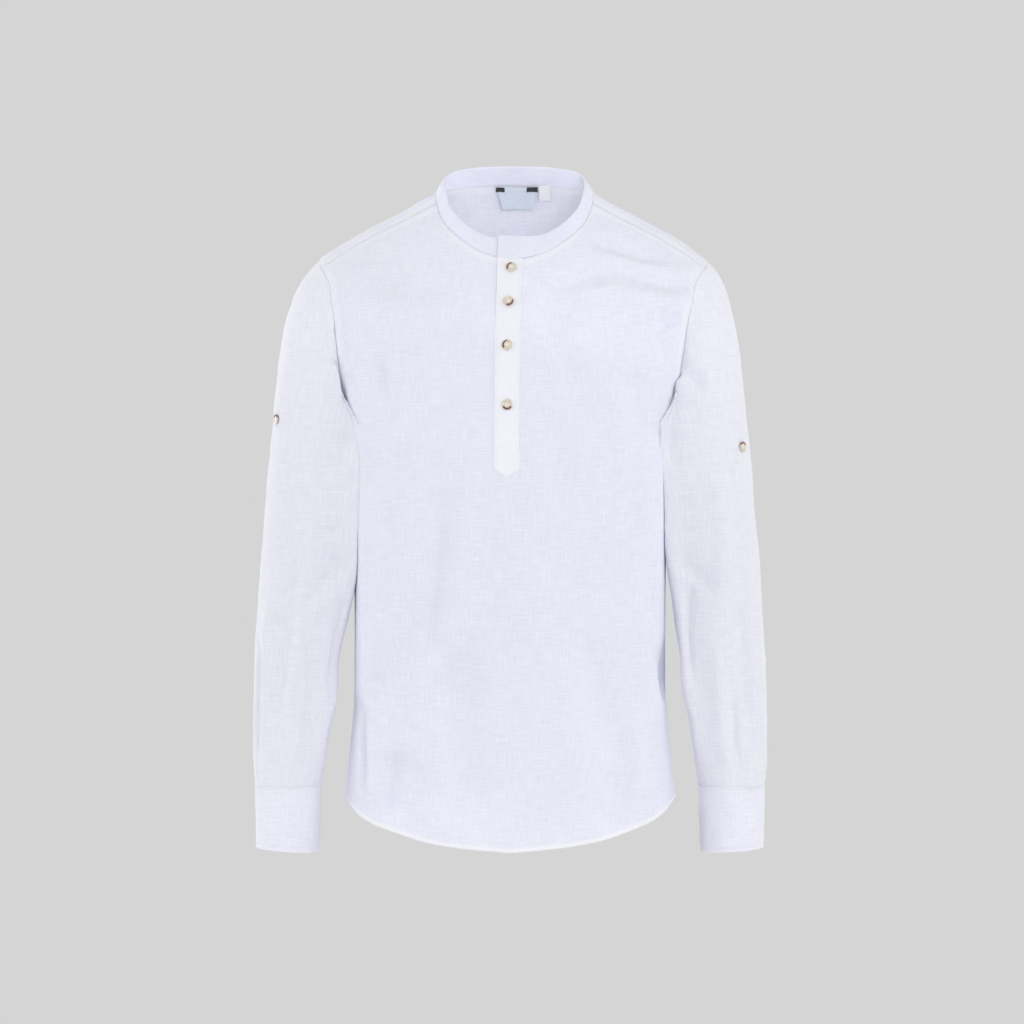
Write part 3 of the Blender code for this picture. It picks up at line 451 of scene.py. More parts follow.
def fade(value):
    """0 up to 0, 1 from 1 on, and smooth between."""
    value = np.clip(value, 0, 1)
    return value * value * (3 - 2 * value)


def hump(value):
    """1 at 0, and falling off softly on both sides."""
    return np.exp(-(value * value))


def between(first, last, share):
    return first + (last - first) * share


def split(points):
    """x, y and drop."""
    return points[..., 0], points[..., 1], -points[..., 2]


def together(*values):
    """What split takes apart, as points: x, y and z, or any values of each point side by side."""
    return np.stack(np.broadcast_arrays(*values), axis=-1)


def neck_shift(drop):
    return NECK_SHIFT * (1 - fade(drop / NECK_SHIFT_END))


def from_middle(points):
    """Distances from the body's middle line, as if the neck weren't shifted, and drops."""
    x, _, drop = split(points)
    return x - neck_shift(drop), drop


def unit(vectors):
    return vectors / np.maximum(np.linalg.norm(vectors, axis=-1, keepdims=True), 1e-9)


def on_section(turn, drop):
    """A place on the body's plain form, without folds, at a turn from the centre front and a drop."""
    half_width, front, back, tip_y, power = level(drop)
    depth = (1 - np.minimum(np.abs(np.sin(turn)), 1) ** power) ** (1 / power)
    y = np.where(np.cos(turn) > 0, tip_y - (front + tip_y) * depth, tip_y + (back - tip_y) * depth)
    return together(half_width * np.sin(turn), y, -drop)


def bulk(points):
    """1 on the body's plain form, less inside it and more outside."""
    x, y, drop = split(points)
    half_width, front, back, tip_y, power = level(drop)
    reach = np.maximum(np.where(y < tip_y, front + tip_y, back - tip_y), 0.1)
    above = np.where(drop < BODY[0].drop, 9, 0)
    return (np.abs(x) / half_width) ** power + (np.abs(y - tip_y) / reach) ** power + above


def out_to_form(start, way):
    """Where a line from a start inside the plain form leaves it, by halving."""
    near, far = np.zeros(start.shape[:-1] + (1,)), np.ones(start.shape[:-1] + (1,))
    for _ in range(HALVINGS):
        middle = (near + far) / 2
        inside = bulk(start + way * middle)[..., None] < 1
        near, far = np.where(inside, middle, near), np.where(inside, far, middle)
    return start + way * (near + far) / 2


def under_plan(x, y):
    """The plain form's point above a place in plan."""
    start = together(x, y, -PLAN_DROP)
    return out_to_form(start, np.array([0, 0, PLAN_DROP - BODY[0].drop]))


def high_up(drop):
    """1 in the shoulders and 0 below them."""
    return fade((SHOULDER_CORE_DROP + 5 - drop) / 100)


def onto_form(points):
    """Moves points onto the plain form: level, or up and out from a line inside the shoulders."""
    x, _, drop = split(points)
    core = together(CORE_SHARE * x, 0, -drop)
    core[..., 2] += (drop - SHOULDER_CORE_DROP) * high_up(drop)
    return out_to_form(core, (points - core) * 4)


def normal_at(points):
    """The plain form's outward normal, from small steps along each axis."""
    steps = 0.3 * np.eye(3)
    return unit(together(*(bulk(points + step) - bulk(points - step) for step in steps)))


def fold_height(panel, x, drop):
    """How far the largest folds move a panel's point outwards."""
    total = np.zeros(np.shape(x))
    for fold in FOLDS[panel]:
        along = (drop - fold.head_drop) / (fold.foot_drop - fold.head_drop)
        middle = between(fold.head_x, fold.foot_x, along)
        length = fade(along * 2.5) * fade((1.15 - along) * 3)
        total += fold.height * length * hump((x - middle) / fold.width)
    return total


def worn(points):
    """Points of the plain form with the folds and the neck's shift."""
    x, y, drop = split(points)
    _, front, back, tip_y, _ = level(drop)
    in_front = y < tip_y
    depth = np.abs(y - tip_y) / np.where(in_front, front + tip_y, back - tip_y)
    fold = np.where(in_front, -fold_height("front", x, drop), fold_height("back", x, drop))
    return together(x + neck_shift(drop), y + fold * np.clip(depth, 0, 1), -drop)


# ---------------------------------------------------------------- seams


def neck_seam(angle):
    """The neck seam at an angle from the centre front, positive towards the wearer's left."""
    reach = np.where(np.cos(angle) > 0, NECK_FRONT, NECK_BACK)
    return under_plan(NECK_HALF_WIDTH * np.sin(angle), NECK_MID_Y - reach * np.cos(angle))


def armhole(angle):
    """The left armhole's seam at an angle from its top, turning towards the front."""
    drop = ARMHOLE_MIDDLE - ARMHOLE_HALF * np.cos(angle)
    _, front, back, tip_y, power = level(drop)
    to_front = np.sin(angle) > 0
    across = np.where(to_front, ARMHOLE_FRONT, ARMHOLE_BACK) * np.abs(np.sin(angle))
    reach = np.where(to_front, front + tip_y, back - tip_y)
    turn = np.arcsin(np.clip((1 - (across / reach) ** power) ** (1 / power), 0, 1))
    return on_section(np.where(to_front, turn, math.pi - turn), drop)


def shoulder_seam(share):
    """The left shoulder seam from the neck (0) to the armhole (1), straight in plan."""
    start, end = neck_seam(SHOULDER_NECK_ANGLE), armhole(SHOULDER_ARM_ANGLE)
    return under_plan(*(between(start[i], end[i], share) for i in (0, 1)))


def closing_in(first, last, steps, length):
    """Even values, with a few more close to the last one, which shape the seam there."""
    values = np.linspace(first, last, steps + 1)[:-1]
    return np.concatenate([values, last - (last - first) * np.array(EDGE_STEPS) / length, [last]])


def neck_front_angles():
    start = np.linspace(0, BAND_OVER_ANGLE, PLACKET_COLUMNS + 1)
    rest = np.linspace(BAND_OVER_ANGLE, SHOULDER_NECK_ANGLE, NECK_FRONT_STEPS + 1)
    return np.concatenate([start, rest[1:]])


def neck_back_angles():
    return np.linspace(math.pi, SHOULDER_NECK_ANGLE, NECK_BACK_STEPS + 1)


def band_way(angle):
    """From the neck seam to the band's top edge."""
    around = np.abs((angle + math.pi) % TURN - math.pi)
    inward, towards_back, rise = read(BAND, np.degrees(around))
    return together(-np.sign(np.sin(angle)) * inward, towards_back, rise)


def neck_mitre(angle):
    """The way out at the neck seam, between the body's normal and the band's."""
    along = neck_seam(angle + 0.01) - neck_seam(angle - 0.01)
    return unit(unit(np.cross(along, band_way(angle))) + normal_at(neck_seam(angle)))


# ---------------------------------------------------------------- grids of points


def lengths(points, axis):
    """How far each point of a grid is along its rows (axis 1) or columns (axis 0)."""
    steps = np.linalg.norm(np.diff(points, axis=axis), axis=-1)
    return np.insert(np.cumsum(steps, axis=axis), 0, 0, axis=axis)


def shares(points):
    along = lengths(points, 0)
    return along / along[-1]


def normals_of(grid, closed=False):
    """Unit normals of a grid, on the side where its rows run up and its columns to the right."""
    if closed:
        across = np.roll(grid, -1, axis=1) - np.roll(grid, 1, axis=1)
    else:
        across = np.gradient(grid, axis=1)
    return unit(np.cross(across, np.gradient(grid, axis=0)))


def sample(grid, row, col):
    """A grid's values at fractional rows and columns."""
    row, col = np.broadcast_arrays(np.asarray(row, float), np.asarray(col, float))
    i = np.clip(row.astype(int), 0, len(grid) - 2)
    j = np.clip(col.astype(int), 0, len(grid[0]) - 2)
    r, c = (row - i)[..., None], (col - j)[..., None]
    low, high = (between(grid[k, j], grid[k, j + 1], c) for k in (i, i + 1))
    return between(low, high, r)


def row_at(grid, col, drop, way=-1):
    """The fractional row where a column passes a drop. way is -1 where the rows run up, 1 down."""
    heights = sample(grid, np.arange(len(grid)), col)[:, 2]
    return float(np.interp(way * drop, -way * heights, range(len(grid))))


def plain_grain(points):
    return together(lengths(points, 1), lengths(points, 0))


def crease_height(panel, across, drop, around=False):
    """How far the creases move a piece's points along its grid's normals."""
    total = np.zeros(np.shape(across))
    for crease in CREASES[panel]:
        run, fall = crease.across_2 - crease.across_1, crease.drop_2 - crease.drop_1
        length = math.hypot(run, fall)
        dx, dd = across - crease.across_1, drop - crease.drop_1
        if around:
            dx = (dx + 180) % 360 - 180
        along = (dx * run + dd * fall) / length**2
        off = (dx * fall - dd * run) / length - crease.bow * 4 * along * (1 - along)
        flank = CREASE_SPREAD * crease.width * np.where(off > 0, 1 + crease.skew, 1 - crease.skew)
        ends = fade(along / CREASE_END) * fade((1 - along) / CREASE_END)
        total += CREASE_STRENGTH * crease.height * ends * hump(off / flank)
    return total


def pleat_height(piece, angle, drop):
    """A pleat's soft swell on one side of its edge and the step down on the other."""
    total = np.zeros(np.shape(angle))
    for pleat in PLEATS[piece]:
        along = (drop - pleat.drop_top) / (SLEEVE[-1].outer_drop - pleat.drop_top)
        edge = between(pleat.angle_top, pleat.angle_foot, along)
        off = (angle - edge + 180) % 360 - 180
        side = np.where(off < 0, hump(off / pleat.width), fade(1 - off / PLEAT_STEP))
        total += pleat.height * fade(along * 1.2) * side
    return total


def wander(seed, u, v, length, count=14):
    """Slow unevenness of the cloth, about -1 to 1, over a length in millimetres."""
    chance = np.random.default_rng(seed)
    u, v = np.broadcast_arrays(u, v)
    total = np.zeros(u.shape)
    for _ in range(count):
        heading, phase = chance.uniform(0, math.pi), chance.uniform(0, TURN)
        rate = TURN / (length * chance.uniform(0.6, 1.7))
        total += np.sin((u * math.cos(heading) + v * math.sin(heading) * 0.6) * rate + phase)
    return total / math.sqrt(count)


def seam_profile(distance):
    """The groove of a seam and the low swell of the allowance beside it."""
    return 0.28 * hump((distance - 4.5) / 2.4) - SEAM_GROOVE * hump(distance / 0.9)


def hem_profile(distance):
    """The step of a turned hem, pinched where it's sewn."""
    turned = 0.75 * fade((HEM_WIDTH + 0.7 - distance) / 1.2)
    return turned - 0.35 * hump((distance - HEM_STITCHES) / 0.8)


# ---------------------------------------------------------------- front and back


def hem_edge(x, centre_length, at_back):
    """The left half of a hem at distances from the centre."""
    across = x / x[-1]
    turn = np.arcsin(across)
    drop = centre_length - read(HEM, across)[0] * (centre_length - SIDE_LENGTH) / HEM[-1].rise
    return on_section(math.pi - turn if at_back else turn, drop)


def patch(bottom, top, side, at_back):
    """The left half of a panel between its edges: rows from hem to top, columns from the centre."""
    v = shares(side)[:, None]
    u = (shares(bottom) + shares(top))[None] / 2
    bulge = side - (1 - v) * side[0] - v * side[-1]
    ruled = (1 - v[..., None]) * bottom + v[..., None] * top
    even = bottom[:, 0] / bottom[-1, 0]
    x = even * side[:, :1] + v**4 * (top[:, 0] - even * side[-1, 0])
    z = (1 - v) * bottom[-1, 2] + v * top[-1, 2] + u * bulge[:, 2:]
    z = z + (1 - v) ** 2 * (bottom[:, 2] - bottom[-1, 2]) + v**2 * (top[:, 2] - top[-1, 2])
    turn = np.arcsin(np.minimum(x / level(-z)[0], WIDEST_SHARE))
    low = on_section(math.pi - turn if at_back else turn, -z)[..., 1]
    y = between(low, ruled[..., 1] + bulge[:, 1:2], high_up(-z))
    points = onto_form(together(x, y, z))
    points[0], points[-1], points[:, -1] = bottom, top, side
    return points


def panel_points(neck_angles, armhole_end, armhole_steps, centre_length, at_back):
    """A whole panel, rows from the hem up and columns towards the wearer's left."""
    shoulder = closing_in(0, 1, SHOULDER_STEPS, SHOULDER_SEAM)[1:]
    top = np.concatenate([neck_seam(neck_angles), shoulder_seam(shoulder)])
    half_width = float(level(SIDE_LENGTH)[0])
    if at_back:
        x = half_width * np.sin(math.pi / 2 * shares(top))
    else:
        rest = np.sin(np.linspace(0, math.pi / 2, len(top) - PLACKET_COLUMNS)[1:])
        strip = np.linspace(0, BAND_OVER, PLACKET_COLUMNS + 1)
        x = np.concatenate([strip, between(BAND_OVER, half_width, rest)])
    drops = np.linspace(SIDE_LENGTH - HEM_STEPS[-1], ARMHOLE_BOTTOM, SIDE_STEPS + 1)
    drops = np.concatenate([SIDE_LENGTH - np.array(HEM_STEPS[:-1]), drops])
    side_seam = on_section(np.full(drops.shape, math.pi / 2), drops)
    arc = closing_in(
        math.pi, armhole_end, armhole_steps, abs(armhole_end - math.pi) * ARMHOLE_RADIUS
    )
    side = np.concatenate([side_seam, armhole(arc[1:])])
    half = patch(hem_edge(x, centre_length, at_back), top, side, at_back)
    return worn(np.concatenate([(half * [-1, 1, 1])[:, :0:-1], half], axis=1))


def grain_of(points):
    """Distances across and along the cloth's grain, from the middle column and the hem."""
    across, middle = lengths(points[..., :2], 1), (len(points[0]) - 1) // 2
    along = lengths(points[..., 1:], 0) + points[:1, :, 2]
    return together(across - across[:, middle : middle + 1], along)


def flat_to_side(x, drop):
    """How far the front stays forward close to its side seams, below the armholes."""
    share = np.abs(x) / level(drop)[0]
    beside = hump((share - 0.955) / 0.045) * fade((1 - share) / 0.02)
    return FLAT_FORWARD * beside * fade((drop - FLAT_START) / 55) * fade((650 - drop) / 120)


def finish_panel(name, points, seed):
    """Gives a panel its creases, seams and hem: (points, normals, grain, layers). The normals point
    forwards, so they go outwards on the front and inwards on the back."""
    x, drop = from_middle(points)
    if name == "front":
        points[..., 1] -= flat_to_side(x, drop)
    out, grain = normals_of(points), grain_of(points)
    u, v = grain[..., 0], grain[..., 1]
    rows, to_hem = lengths(points, 1), lengths(points, 0)
    to_side, to_top = np.minimum(rows, rows[:, -1:] - rows), to_hem[-1:] - to_hem
    soft = crease_height(name, x, drop) + 0.5 * wander(seed, u, v * 0.6, 60)
    soft += 0.07 * wander(seed + 1, u, v * 0.5, 14)
    beside_arm = fade((np.abs(x) / level(drop)[0] - 0.86) / 0.08) * fade((540 - drop) / 60)
    soft *= 1 - beside_arm * (drop > ARMHOLE_BOTTOM - 40)
    soft *= fade(to_side / SEAM_REACH) * fade(to_top / SEAM_REACH)
    ripple = 0.3 * wander(seed + 2, u, v * 0.2, 11) * hump(to_hem / 14)
    sewn = seam_profile(to_side) + seam_profile(to_top) + hem_profile(to_hem)
    points = points + out * (soft + ripple + sewn)[..., None]
    in_seam = fade(SEAM_REACH - np.minimum(to_top, to_side)) * (drop < ARMHOLE_BOTTOM)
    layers = np.maximum(fade((HEM_WIDTH + 0.4 - to_hem) / 0.8), 0.45 * in_seam)
    return points, normals_of(points), grain, layers


# ---------------------------------------------------------------- sleeves and cuffs


def oval(station, angle):
    """A point of the left sleeve's oval at a station, without the armhole's own form."""
    numbered = np.column_stack([np.arange(len(SLEEVE)), SLEEVE])
    outer_x, outer_drop, inner_x, inner_drop, mid_y, half_depth = read(numbered, station)
    x = (outer_x + inner_x) / 2 + (outer_x - inner_x) / 2 * np.cos(angle)
    drop = (outer_drop + inner_drop) / 2 + (outer_drop - inner_drop) / 2 * np.cos(angle)
    return together(x, mid_y - half_depth * np.sin(angle), -drop)


def clear_of_body(points):
    """Moves a sleeve's points off the body's side, except inside the armhole."""
    x, y, drop = split(points)
    across = np.where(y < 0, ARMHOLE_FRONT, ARMHOLE_BACK)
    in_armhole = ((drop - ARMHOLE_MIDDLE) / ARMHOLE_HALF) ** 2 + (y / across) ** 2 < 1
    _, _, _, tip_y, power = level(drop)
    size = bulk(points) ** (1 / power)
    limit = 1 + SLEEVE_CLEARANCE / np.hypot(x, y - tip_y)
    free = in_armhole | (drop < ARMHOLE_TOP) | (size > limit)
    scale = np.where(free, 1, limit / size)
    return together(x * scale, tip_y + (y - tip_y) * scale, -drop)


def roll_of(side, station, angle):
    """How far the rolls move a sleeve's point."""
    degrees = np.degrees(angle) % 360
    moved = np.zeros(degrees.shape + (3,))
    for roll in ROLLS[side]:
        along = (station - roll.first) / (roll.last - roll.first)
        strength = fade(along * 4) * fade((1 - along) * 2.5) * hump((degrees - roll.angle) / roll.width)
        moved -= strength[..., None] * [roll.inward, roll.forward, 0]
    return moved


def sleeve_point(side, station, angle):
    """A point of a sleeve's outer surface."""
    station, angle = np.broadcast_arrays(np.asarray(station, float), np.asarray(angle, float))
    kept = 1 - fade(station / SLEEVE_BLEND)
    own_form = (armhole(angle) - oval(0 * angle, angle)) * kept[..., None]
    points = oval(station, angle) + own_form + roll_of(side, station, angle)
    points[..., 0] += fade((-np.cos(angle) - 0.6) * 2.5) * SEAM_GAP
    points = np.where(station[..., None] > 0.04, clear_of_body(points), points)
    points[..., 0] = side * points[..., 0] + neck_shift(-points[..., 2]) * kept
    return points


def sleeve_normal(side, station, angle):
    along = sleeve_point(side, station + 0.06, angle) - sleeve_point(side, station, angle)
    around = sleeve_point(side, station, angle + 0.02) - sleeve_point(side, station, angle - 0.02)
    return unit(np.cross(around, along)) * side


def towards_body(side, degrees, points):
    """Eases the front of a sleeve's inner side against the body, down to where they part."""
    drop, own = -points[..., 2], points * [side, 1, 1]
    parts = SLEEVE_PARTS[side]
    seam = ARMHOLE_MIDDLE - ARMHOLE_HALF * np.cos(np.radians(degrees))
    below = fade((drop - seam) / 30) * fade((drop - FLAT_START) / 30)
    close = hump((degrees - 152) / 24) * below * fade((parts - drop) / 120)
    flat = hump((degrees - 158) / np.where(degrees < 158, 28, 13))
    flat = flat * below * fade((655 - drop) / 60)
    lean = hump((degrees - 192) / 24) * fade((drop - 380) / 90) * fade((700 - drop) / 170)
    moves = ((close, CLOSE_MOVE), (flat, FLAT_MOVE), (lean, LEAN_MOVE))
    moved = own + sum(share[..., None] * move for share, move in moves)
    corner = together(0, flat_to_side(moved[..., 0], drop), 0)
    kept = clear_of_body(moved + corner) - corner
    return np.where((close + flat + lean > 0.01)[..., None], kept, own) * [side, 1, 1]


def sleeve_stations():
    """Where the rows of a sleeve's grid lie, with two more at the armhole's seam."""
    edge = LAST_RING * np.array([0.0, 0.0022, 0.005])
    return np.concatenate([edge, EVEN_STATIONS[EVEN_STATIONS > 0.08]])


def sleeve_shell(side, name, seed):
    """(points, outward normals, grain) of a sleeve: rows from the armhole down, columns round."""
    turns = math.pi + np.linspace(0, TURN, SLEEVE_COLUMNS + 1)[:-1]
    station, angle = np.meshgrid(sleeve_stations(), turns, indexing="ij")
    points = sleeve_point(side, station, angle)
    degrees = np.degrees(angle) % 360
    with_front = flat_to_side(*from_middle(points[0])) * (degrees[0] < 180)
    drop = -points[..., 2]
    points[..., 1] -= with_front * fade(1 - station / SLEEVE_BLEND)
    points = towards_body(side, degrees, points)
    out = normals_of(points, closed=True) * side
    whole = np.concatenate([points, points[:, :1]], axis=1)
    around, down = lengths(whole, 1)[:, :-1], lengths(points, 0)
    to_end = down[-1:] - down
    ends_even = hump((around - 180) / 150)
    soft = crease_height(name, degrees, drop, around=True) + pleat_height(name, degrees, drop)
    soft = soft + 0.4 * wander(seed, around, down, 42) * ends_even
    soft = soft + 0.15 * wander(seed + 1, around, down, 14) * ends_even
    touching = hump((degrees - 180) / 42) * fade((9.2 - station) / 1.5)
    soft = soft * (1 - touching) * fade(down / 12)
    soft = soft * (0.35 + 0.65 * fade(to_end / 25)) - 0.6 * fade(1 - to_end / 8)
    points = points + out * (soft - SEAM_GROOVE * hump(down / 0.9))[..., None]
    return points, normals_of(points, closed=True) * side, grain_round_sleeve(side, whole)


def grain_round_sleeve(side, points):
    """Distances across and along a sleeve's grain, on a whole ring of columns."""
    outer_x, outer_drop, inner_x, inner_drop, mid_y, _ = np.array(SLEEVE).T
    x, y, drop = split(points)
    middle = (np.interp(drop, outer_drop, outer_x) + np.interp(drop, inner_drop, inner_x)) / 2
    turn = np.arctan2(np.interp(drop, outer_drop, mid_y) - y, side * x - middle)
    turn[:, 0] -= np.where(turn[:, 0] > 0, TURN, 0)
    return together(SLEEVE_RADIUS * np.unwrap(turn, axis=1), -drop)


def cuff_shell(side):
    """(points, outward normals) of a cuff, which goes round from its opening and laps over itself."""
    step = TURN / CUFF_COLUMNS
    around = np.arange(CUFF_OPENING, CUFF_OPENING + TURN + CUFF_OVERLAP + step / 2, step)
    share, angle = np.meshgrid(np.linspace(0, 1, CUFF_ROWS + 1), around, indexing="ij")
    foot = sleeve_point(side, LAST_RING, angle)
    above = sleeve_point(side, LAST_RING - 0.19, angle)
    out = unit(sleeve_normal(side, LAST_RING - 0.07, angle) * [1, 1, 0])
    start = CUFF_OPENING + TURN - CUFF_OVERLAP
    lift = LAP_LIFT * fade((angle - start) / CUFF_OVERLAP * 1.2)
    from_top = share * (CUFF_LENGTH + CUFF_OVER_SLEEVE)
    down = from_top - CUFF_OVER_SLEEVE
    points = foot + (above - foot) * np.clip(-down / CUFF_OVER_SLEEVE, 0, 1)[..., None]
    points[..., 2] = foot[..., 2] - down + CUFF_SLOPE * np.cos(angle) * share
    u = (angle - CUFF_OPENING) * CUFF_RADIUS
    sewn = -0.45 * hump((from_top - 1.9) / 0.8) - 0.45 * hump((from_top - 5.6) / 0.8)
    sewn = sewn - 0.4 * hump((CUFF_LENGTH - down - 5) / 0.9)
    swell = 0.35 * wander(40 + side, u, down, 34) + 0.12 * wander(44 + side, u, down, 10)
    narrower = CUFF_BOTTOM_IN * np.clip(down / CUFF_LENGTH, 0, 1)
    return points + out * (lift + 0.5 + swell + sewn - narrower)[..., None], out


def strip_shell(sleeve, sleeve_out):
    """(points, outward normals) of a sleeve's placket, on the sleeve's own fine points."""
    turns = (CUFF_OPENING + np.linspace(-1, 1, STRIP_GRID[1]) * CUFF_STRIP_HALF - math.pi) / TURN
    first = np.searchsorted(EVEN_STATIONS, CUFF_STRIP_START)
    rows = np.linspace(first, len(sleeve) - 3, STRIP_GRID[0])
    row, column = np.meshgrid(rows, turns * SLEEVE_COLUMNS, indexing="ij")
    out = unit(sample(sleeve_out, row, column))
    return sample(sleeve, row, column) + out * (STRIP_WALL + 0.15), out


# ---------------------------------------------------------------- collar band, placket, labels


def band_shell():
    """(points, outward normals) of the band, from its under end at the wearer's left of the centre
    front, round by the wearer's right and the back, to its over end."""
    half = np.concatenate([neck_front_angles(), neck_back_angles()[-2::-1]])
    under_end = np.linspace(-math.asin(BAND_UNDER / NECK_HALF_WIDTH), 0, 5)[:-1]
    over_end = TURN + np.linspace(0, BAND_OVER_ANGLE, 7)[1:]
    around = -np.concatenate([under_end, half, TURN - half[-2::-1], over_end])
    share, angle = np.meshgrid(np.linspace(0, 1, BAND_ROWS + 1), around, indexing="ij")
    way = band_way(angle)
    base = worn(neck_seam(angle))
    run = lengths(base, 1)
    short = np.maximum(BAND_CORNER - np.minimum(run, run[:, -1:] - run), 0)
    cut = BAND_CORNER - np.sqrt(BAND_CORNER**2 - short**2)
    width = np.linalg.norm(way, axis=-1)
    lift_start, lift_end = BAND_LIFT_ANGLES
    lift = LAP_LIFT * fade((-angle - lift_start) / (lift_end - lift_start))
    points = base + way * (share * (1 - cut * share**2 / width))[..., None]
    points = points + neck_mitre(angle) * lift[..., None]
    last_part = (-angle - lift_start) / (TURN + BAND_OVER_ANGLE - lift_start)
    points[..., 2] += BAND_END_RISE * fade(last_part) * share
    points[0] -= unit(way[0]) * 0.9
    out = -normals_of(points)
    tall = width * share
    swell = 0.3 * wander(31, run, tall, 30) + 0.14 * wander(32, run, tall * 0.5, 9)
    for dent in BAND_DENTS:
        swell -= dent.depth * hump((np.degrees(-angle) - dent.angle - dent.lean * share) / dent.width)
    sewn = -0.25 * hump((tall - 2.4) / 1.1) - 0.25 * hump((tall[-1:] - tall - 2.4) / 1.1)
    tuck = 0.4 - 0.75 * hump(tall / 0.9)
    return points + out * (tuck + swell * fade(tall / 5) + sewn)[..., None], out


def placket_shell(front, front_out, lift, bottom, width_share, gape):
    """(points, outward normals) of a strip with a pointed foot, on the front's own fine points.
    gape is how far its free edge stands open between the buttons at the top."""
    middle, top = (len(front[0]) - 1) // 2, len(front) - 1
    share = np.linspace(-1, 1, PLACKET_GRID[1])
    right, left = PLACKET_EDGES
    columns = middle + PLACKET_COLUMNS * ((right + left) / 2 + share * width_share * (left - right) / 2)
    ends = bottom + PLACKET_POINT * (1 - np.abs(share))
    foot = np.array([row_at(front, column, end) for column, end in zip(columns, ends)])
    row = between(foot, top, np.linspace(0, 1, PLACKET_GRID[0])[:, None])
    column = np.broadcast_to(columns, row.shape)
    points, out = sample(front, row, column), unit(sample(front_out, row, column))
    open_edge = gape * hump((share + 1) / 0.35) * hump((-points[..., 2] - 98) / 34)
    run = lengths(points, 0)
    swell = 0.22 * wander(51, share * 12, run, 26) + 0.12 * wander(52, share * 12, run, 8)
    swell = swell - 0.25 * hump((np.abs(share) - 0.84) / 0.09) - 0.4 * hump((share - 1) / 0.1)
    return points + out * (lift + open_edge + swell * np.sign(lift))[..., None], out


def tag_shell(tag):
    """(points, normals towards the front) of a label inside the back of the neck."""
    share, across = np.meshgrid(*(np.linspace(0, 1, count) for count in TAG_GRID), indexing="ij")
    left = between(tag.left_bottom, tag.left_top, share)
    right = between(tag.right_bottom, tag.right_top, share)
    drop = between(tag.bottom, tag.top, share) - TAG_RISE
    turn = math.pi - np.arcsin((TAG_ASIDE + between(left, right, across)) / level(drop)[0])
    plain = on_section(turn, drop)
    normal = normal_at(plain)
    curl = 1.2 * (1 - share) ** 2 * (2 * across - 1) ** 2
    over_label = 0.8 * (tag.slot == "tape")
    return worn(plain) - normal * (TAG_OFF + over_label + curl)[..., None], -normal


# ---------------------------------------------------------------- materials


def put(tree, socket, value):
    """Links or sets an input socket."""
    if isinstance(value, bpy.types.NodeSocket):
        tree.links.new(value, socket)
    else:
        socket.default_value = value


def linked(tree, kind, settings=None, output=0, **inputs):
    """An output of a new node, with settings on it and values or links on its inputs, which are named
    or, as i0 to i9, numbered."""
    node = tree.nodes.new(kind)
    for key, value in (settings or {}).items():
        setattr(node, key, value)
    for key, value in inputs.items():
        number = key[0] == "i" and key[1:].isdigit()
        put(tree, node.inputs[int(key[1:]) if number else key.replace("_", " ")], value)
    return node.outputs[output]


def new_material(name, **values):
    """(material, node tree, shader) with constants set on the shader's own sockets."""
    made = bpy.data.materials.new(name)
    made.use_nodes = True
    shader = made.node_tree.nodes["Principled BSDF"]
    for key, value in values.items():
        shader.inputs[key.replace("_", " ")].default_value = value
    return made, made.node_tree, shader


def mix_colour(tree, factor, first, second):
    first, second = ((*v, 1) if isinstance(v, tuple) else v for v in (first, second))
    return linked(tree, "ShaderNodeMix", {"data_type": "RGBA"}, 2, i0=factor, i6=first, i7=second)


def arithmetic(tree, operation, first, second):
    return linked(tree, "ShaderNodeMath", {"operation": operation}, i0=first, i1=second)


def weighted(tree, *parts):
    """The sum of values times their weights."""
    total = arithmetic(tree, "MULTIPLY", *parts[0])
    for value, weight in parts[1:]:
        total = arithmetic(tree, "ADD", total, arithmetic(tree, "MULTIPLY", value, weight))
    return total


def ranged(tree, value, low, high):
    """0 at low and 1 at high."""
    return linked(tree, "ShaderNodeMapRange", i0=value, i1=low, i2=high, i3=0, i4=1)


def stored(tree, name):
    return linked(tree, "ShaderNodeAttribute", {"attribute_name": name}, "Fac")


def grain_noise(tree, grain, across, along, detail):
    """Noise on the cloth's grain, in cycles a metre across and along it."""
    placed = linked(tree, "ShaderNodeMapping", i0=grain, i3=(across, along, 1))
    values = {"Vector": placed, "Scale": 1.0, "Detail": detail, "Roughness": 0.55}
    return linked(tree, "ShaderNodeTexNoise", {"noise_dimensions": "2D"}, **values)


def paint(tree, shader, colour, height=None, strength=0.0, distance=0.0):
    """Links a material's colour and its relief, whose full height is a distance in metres."""
    put(tree, shader.inputs["Base Color"], colour)
    if height is not None:
        bump = linked(tree, "ShaderNodeBump", Strength=strength, Distance=distance, Height=height)
        put(tree, shader.inputs["Normal"], bump)


THROUGH_CLOTH = 0.7  # share of the light that goes into the cloth, of which some passes it
THROUGH_DEPTH = 0.0016  # metres that it goes before it scatters
OPAQUE_CLOTH = (0.93, 0.932, 0.99)  # where several layers lie on each other
THREADS = 820  # cycles a metre across a thread, of its unevenness
THREAD_RUN = 46  # and along it


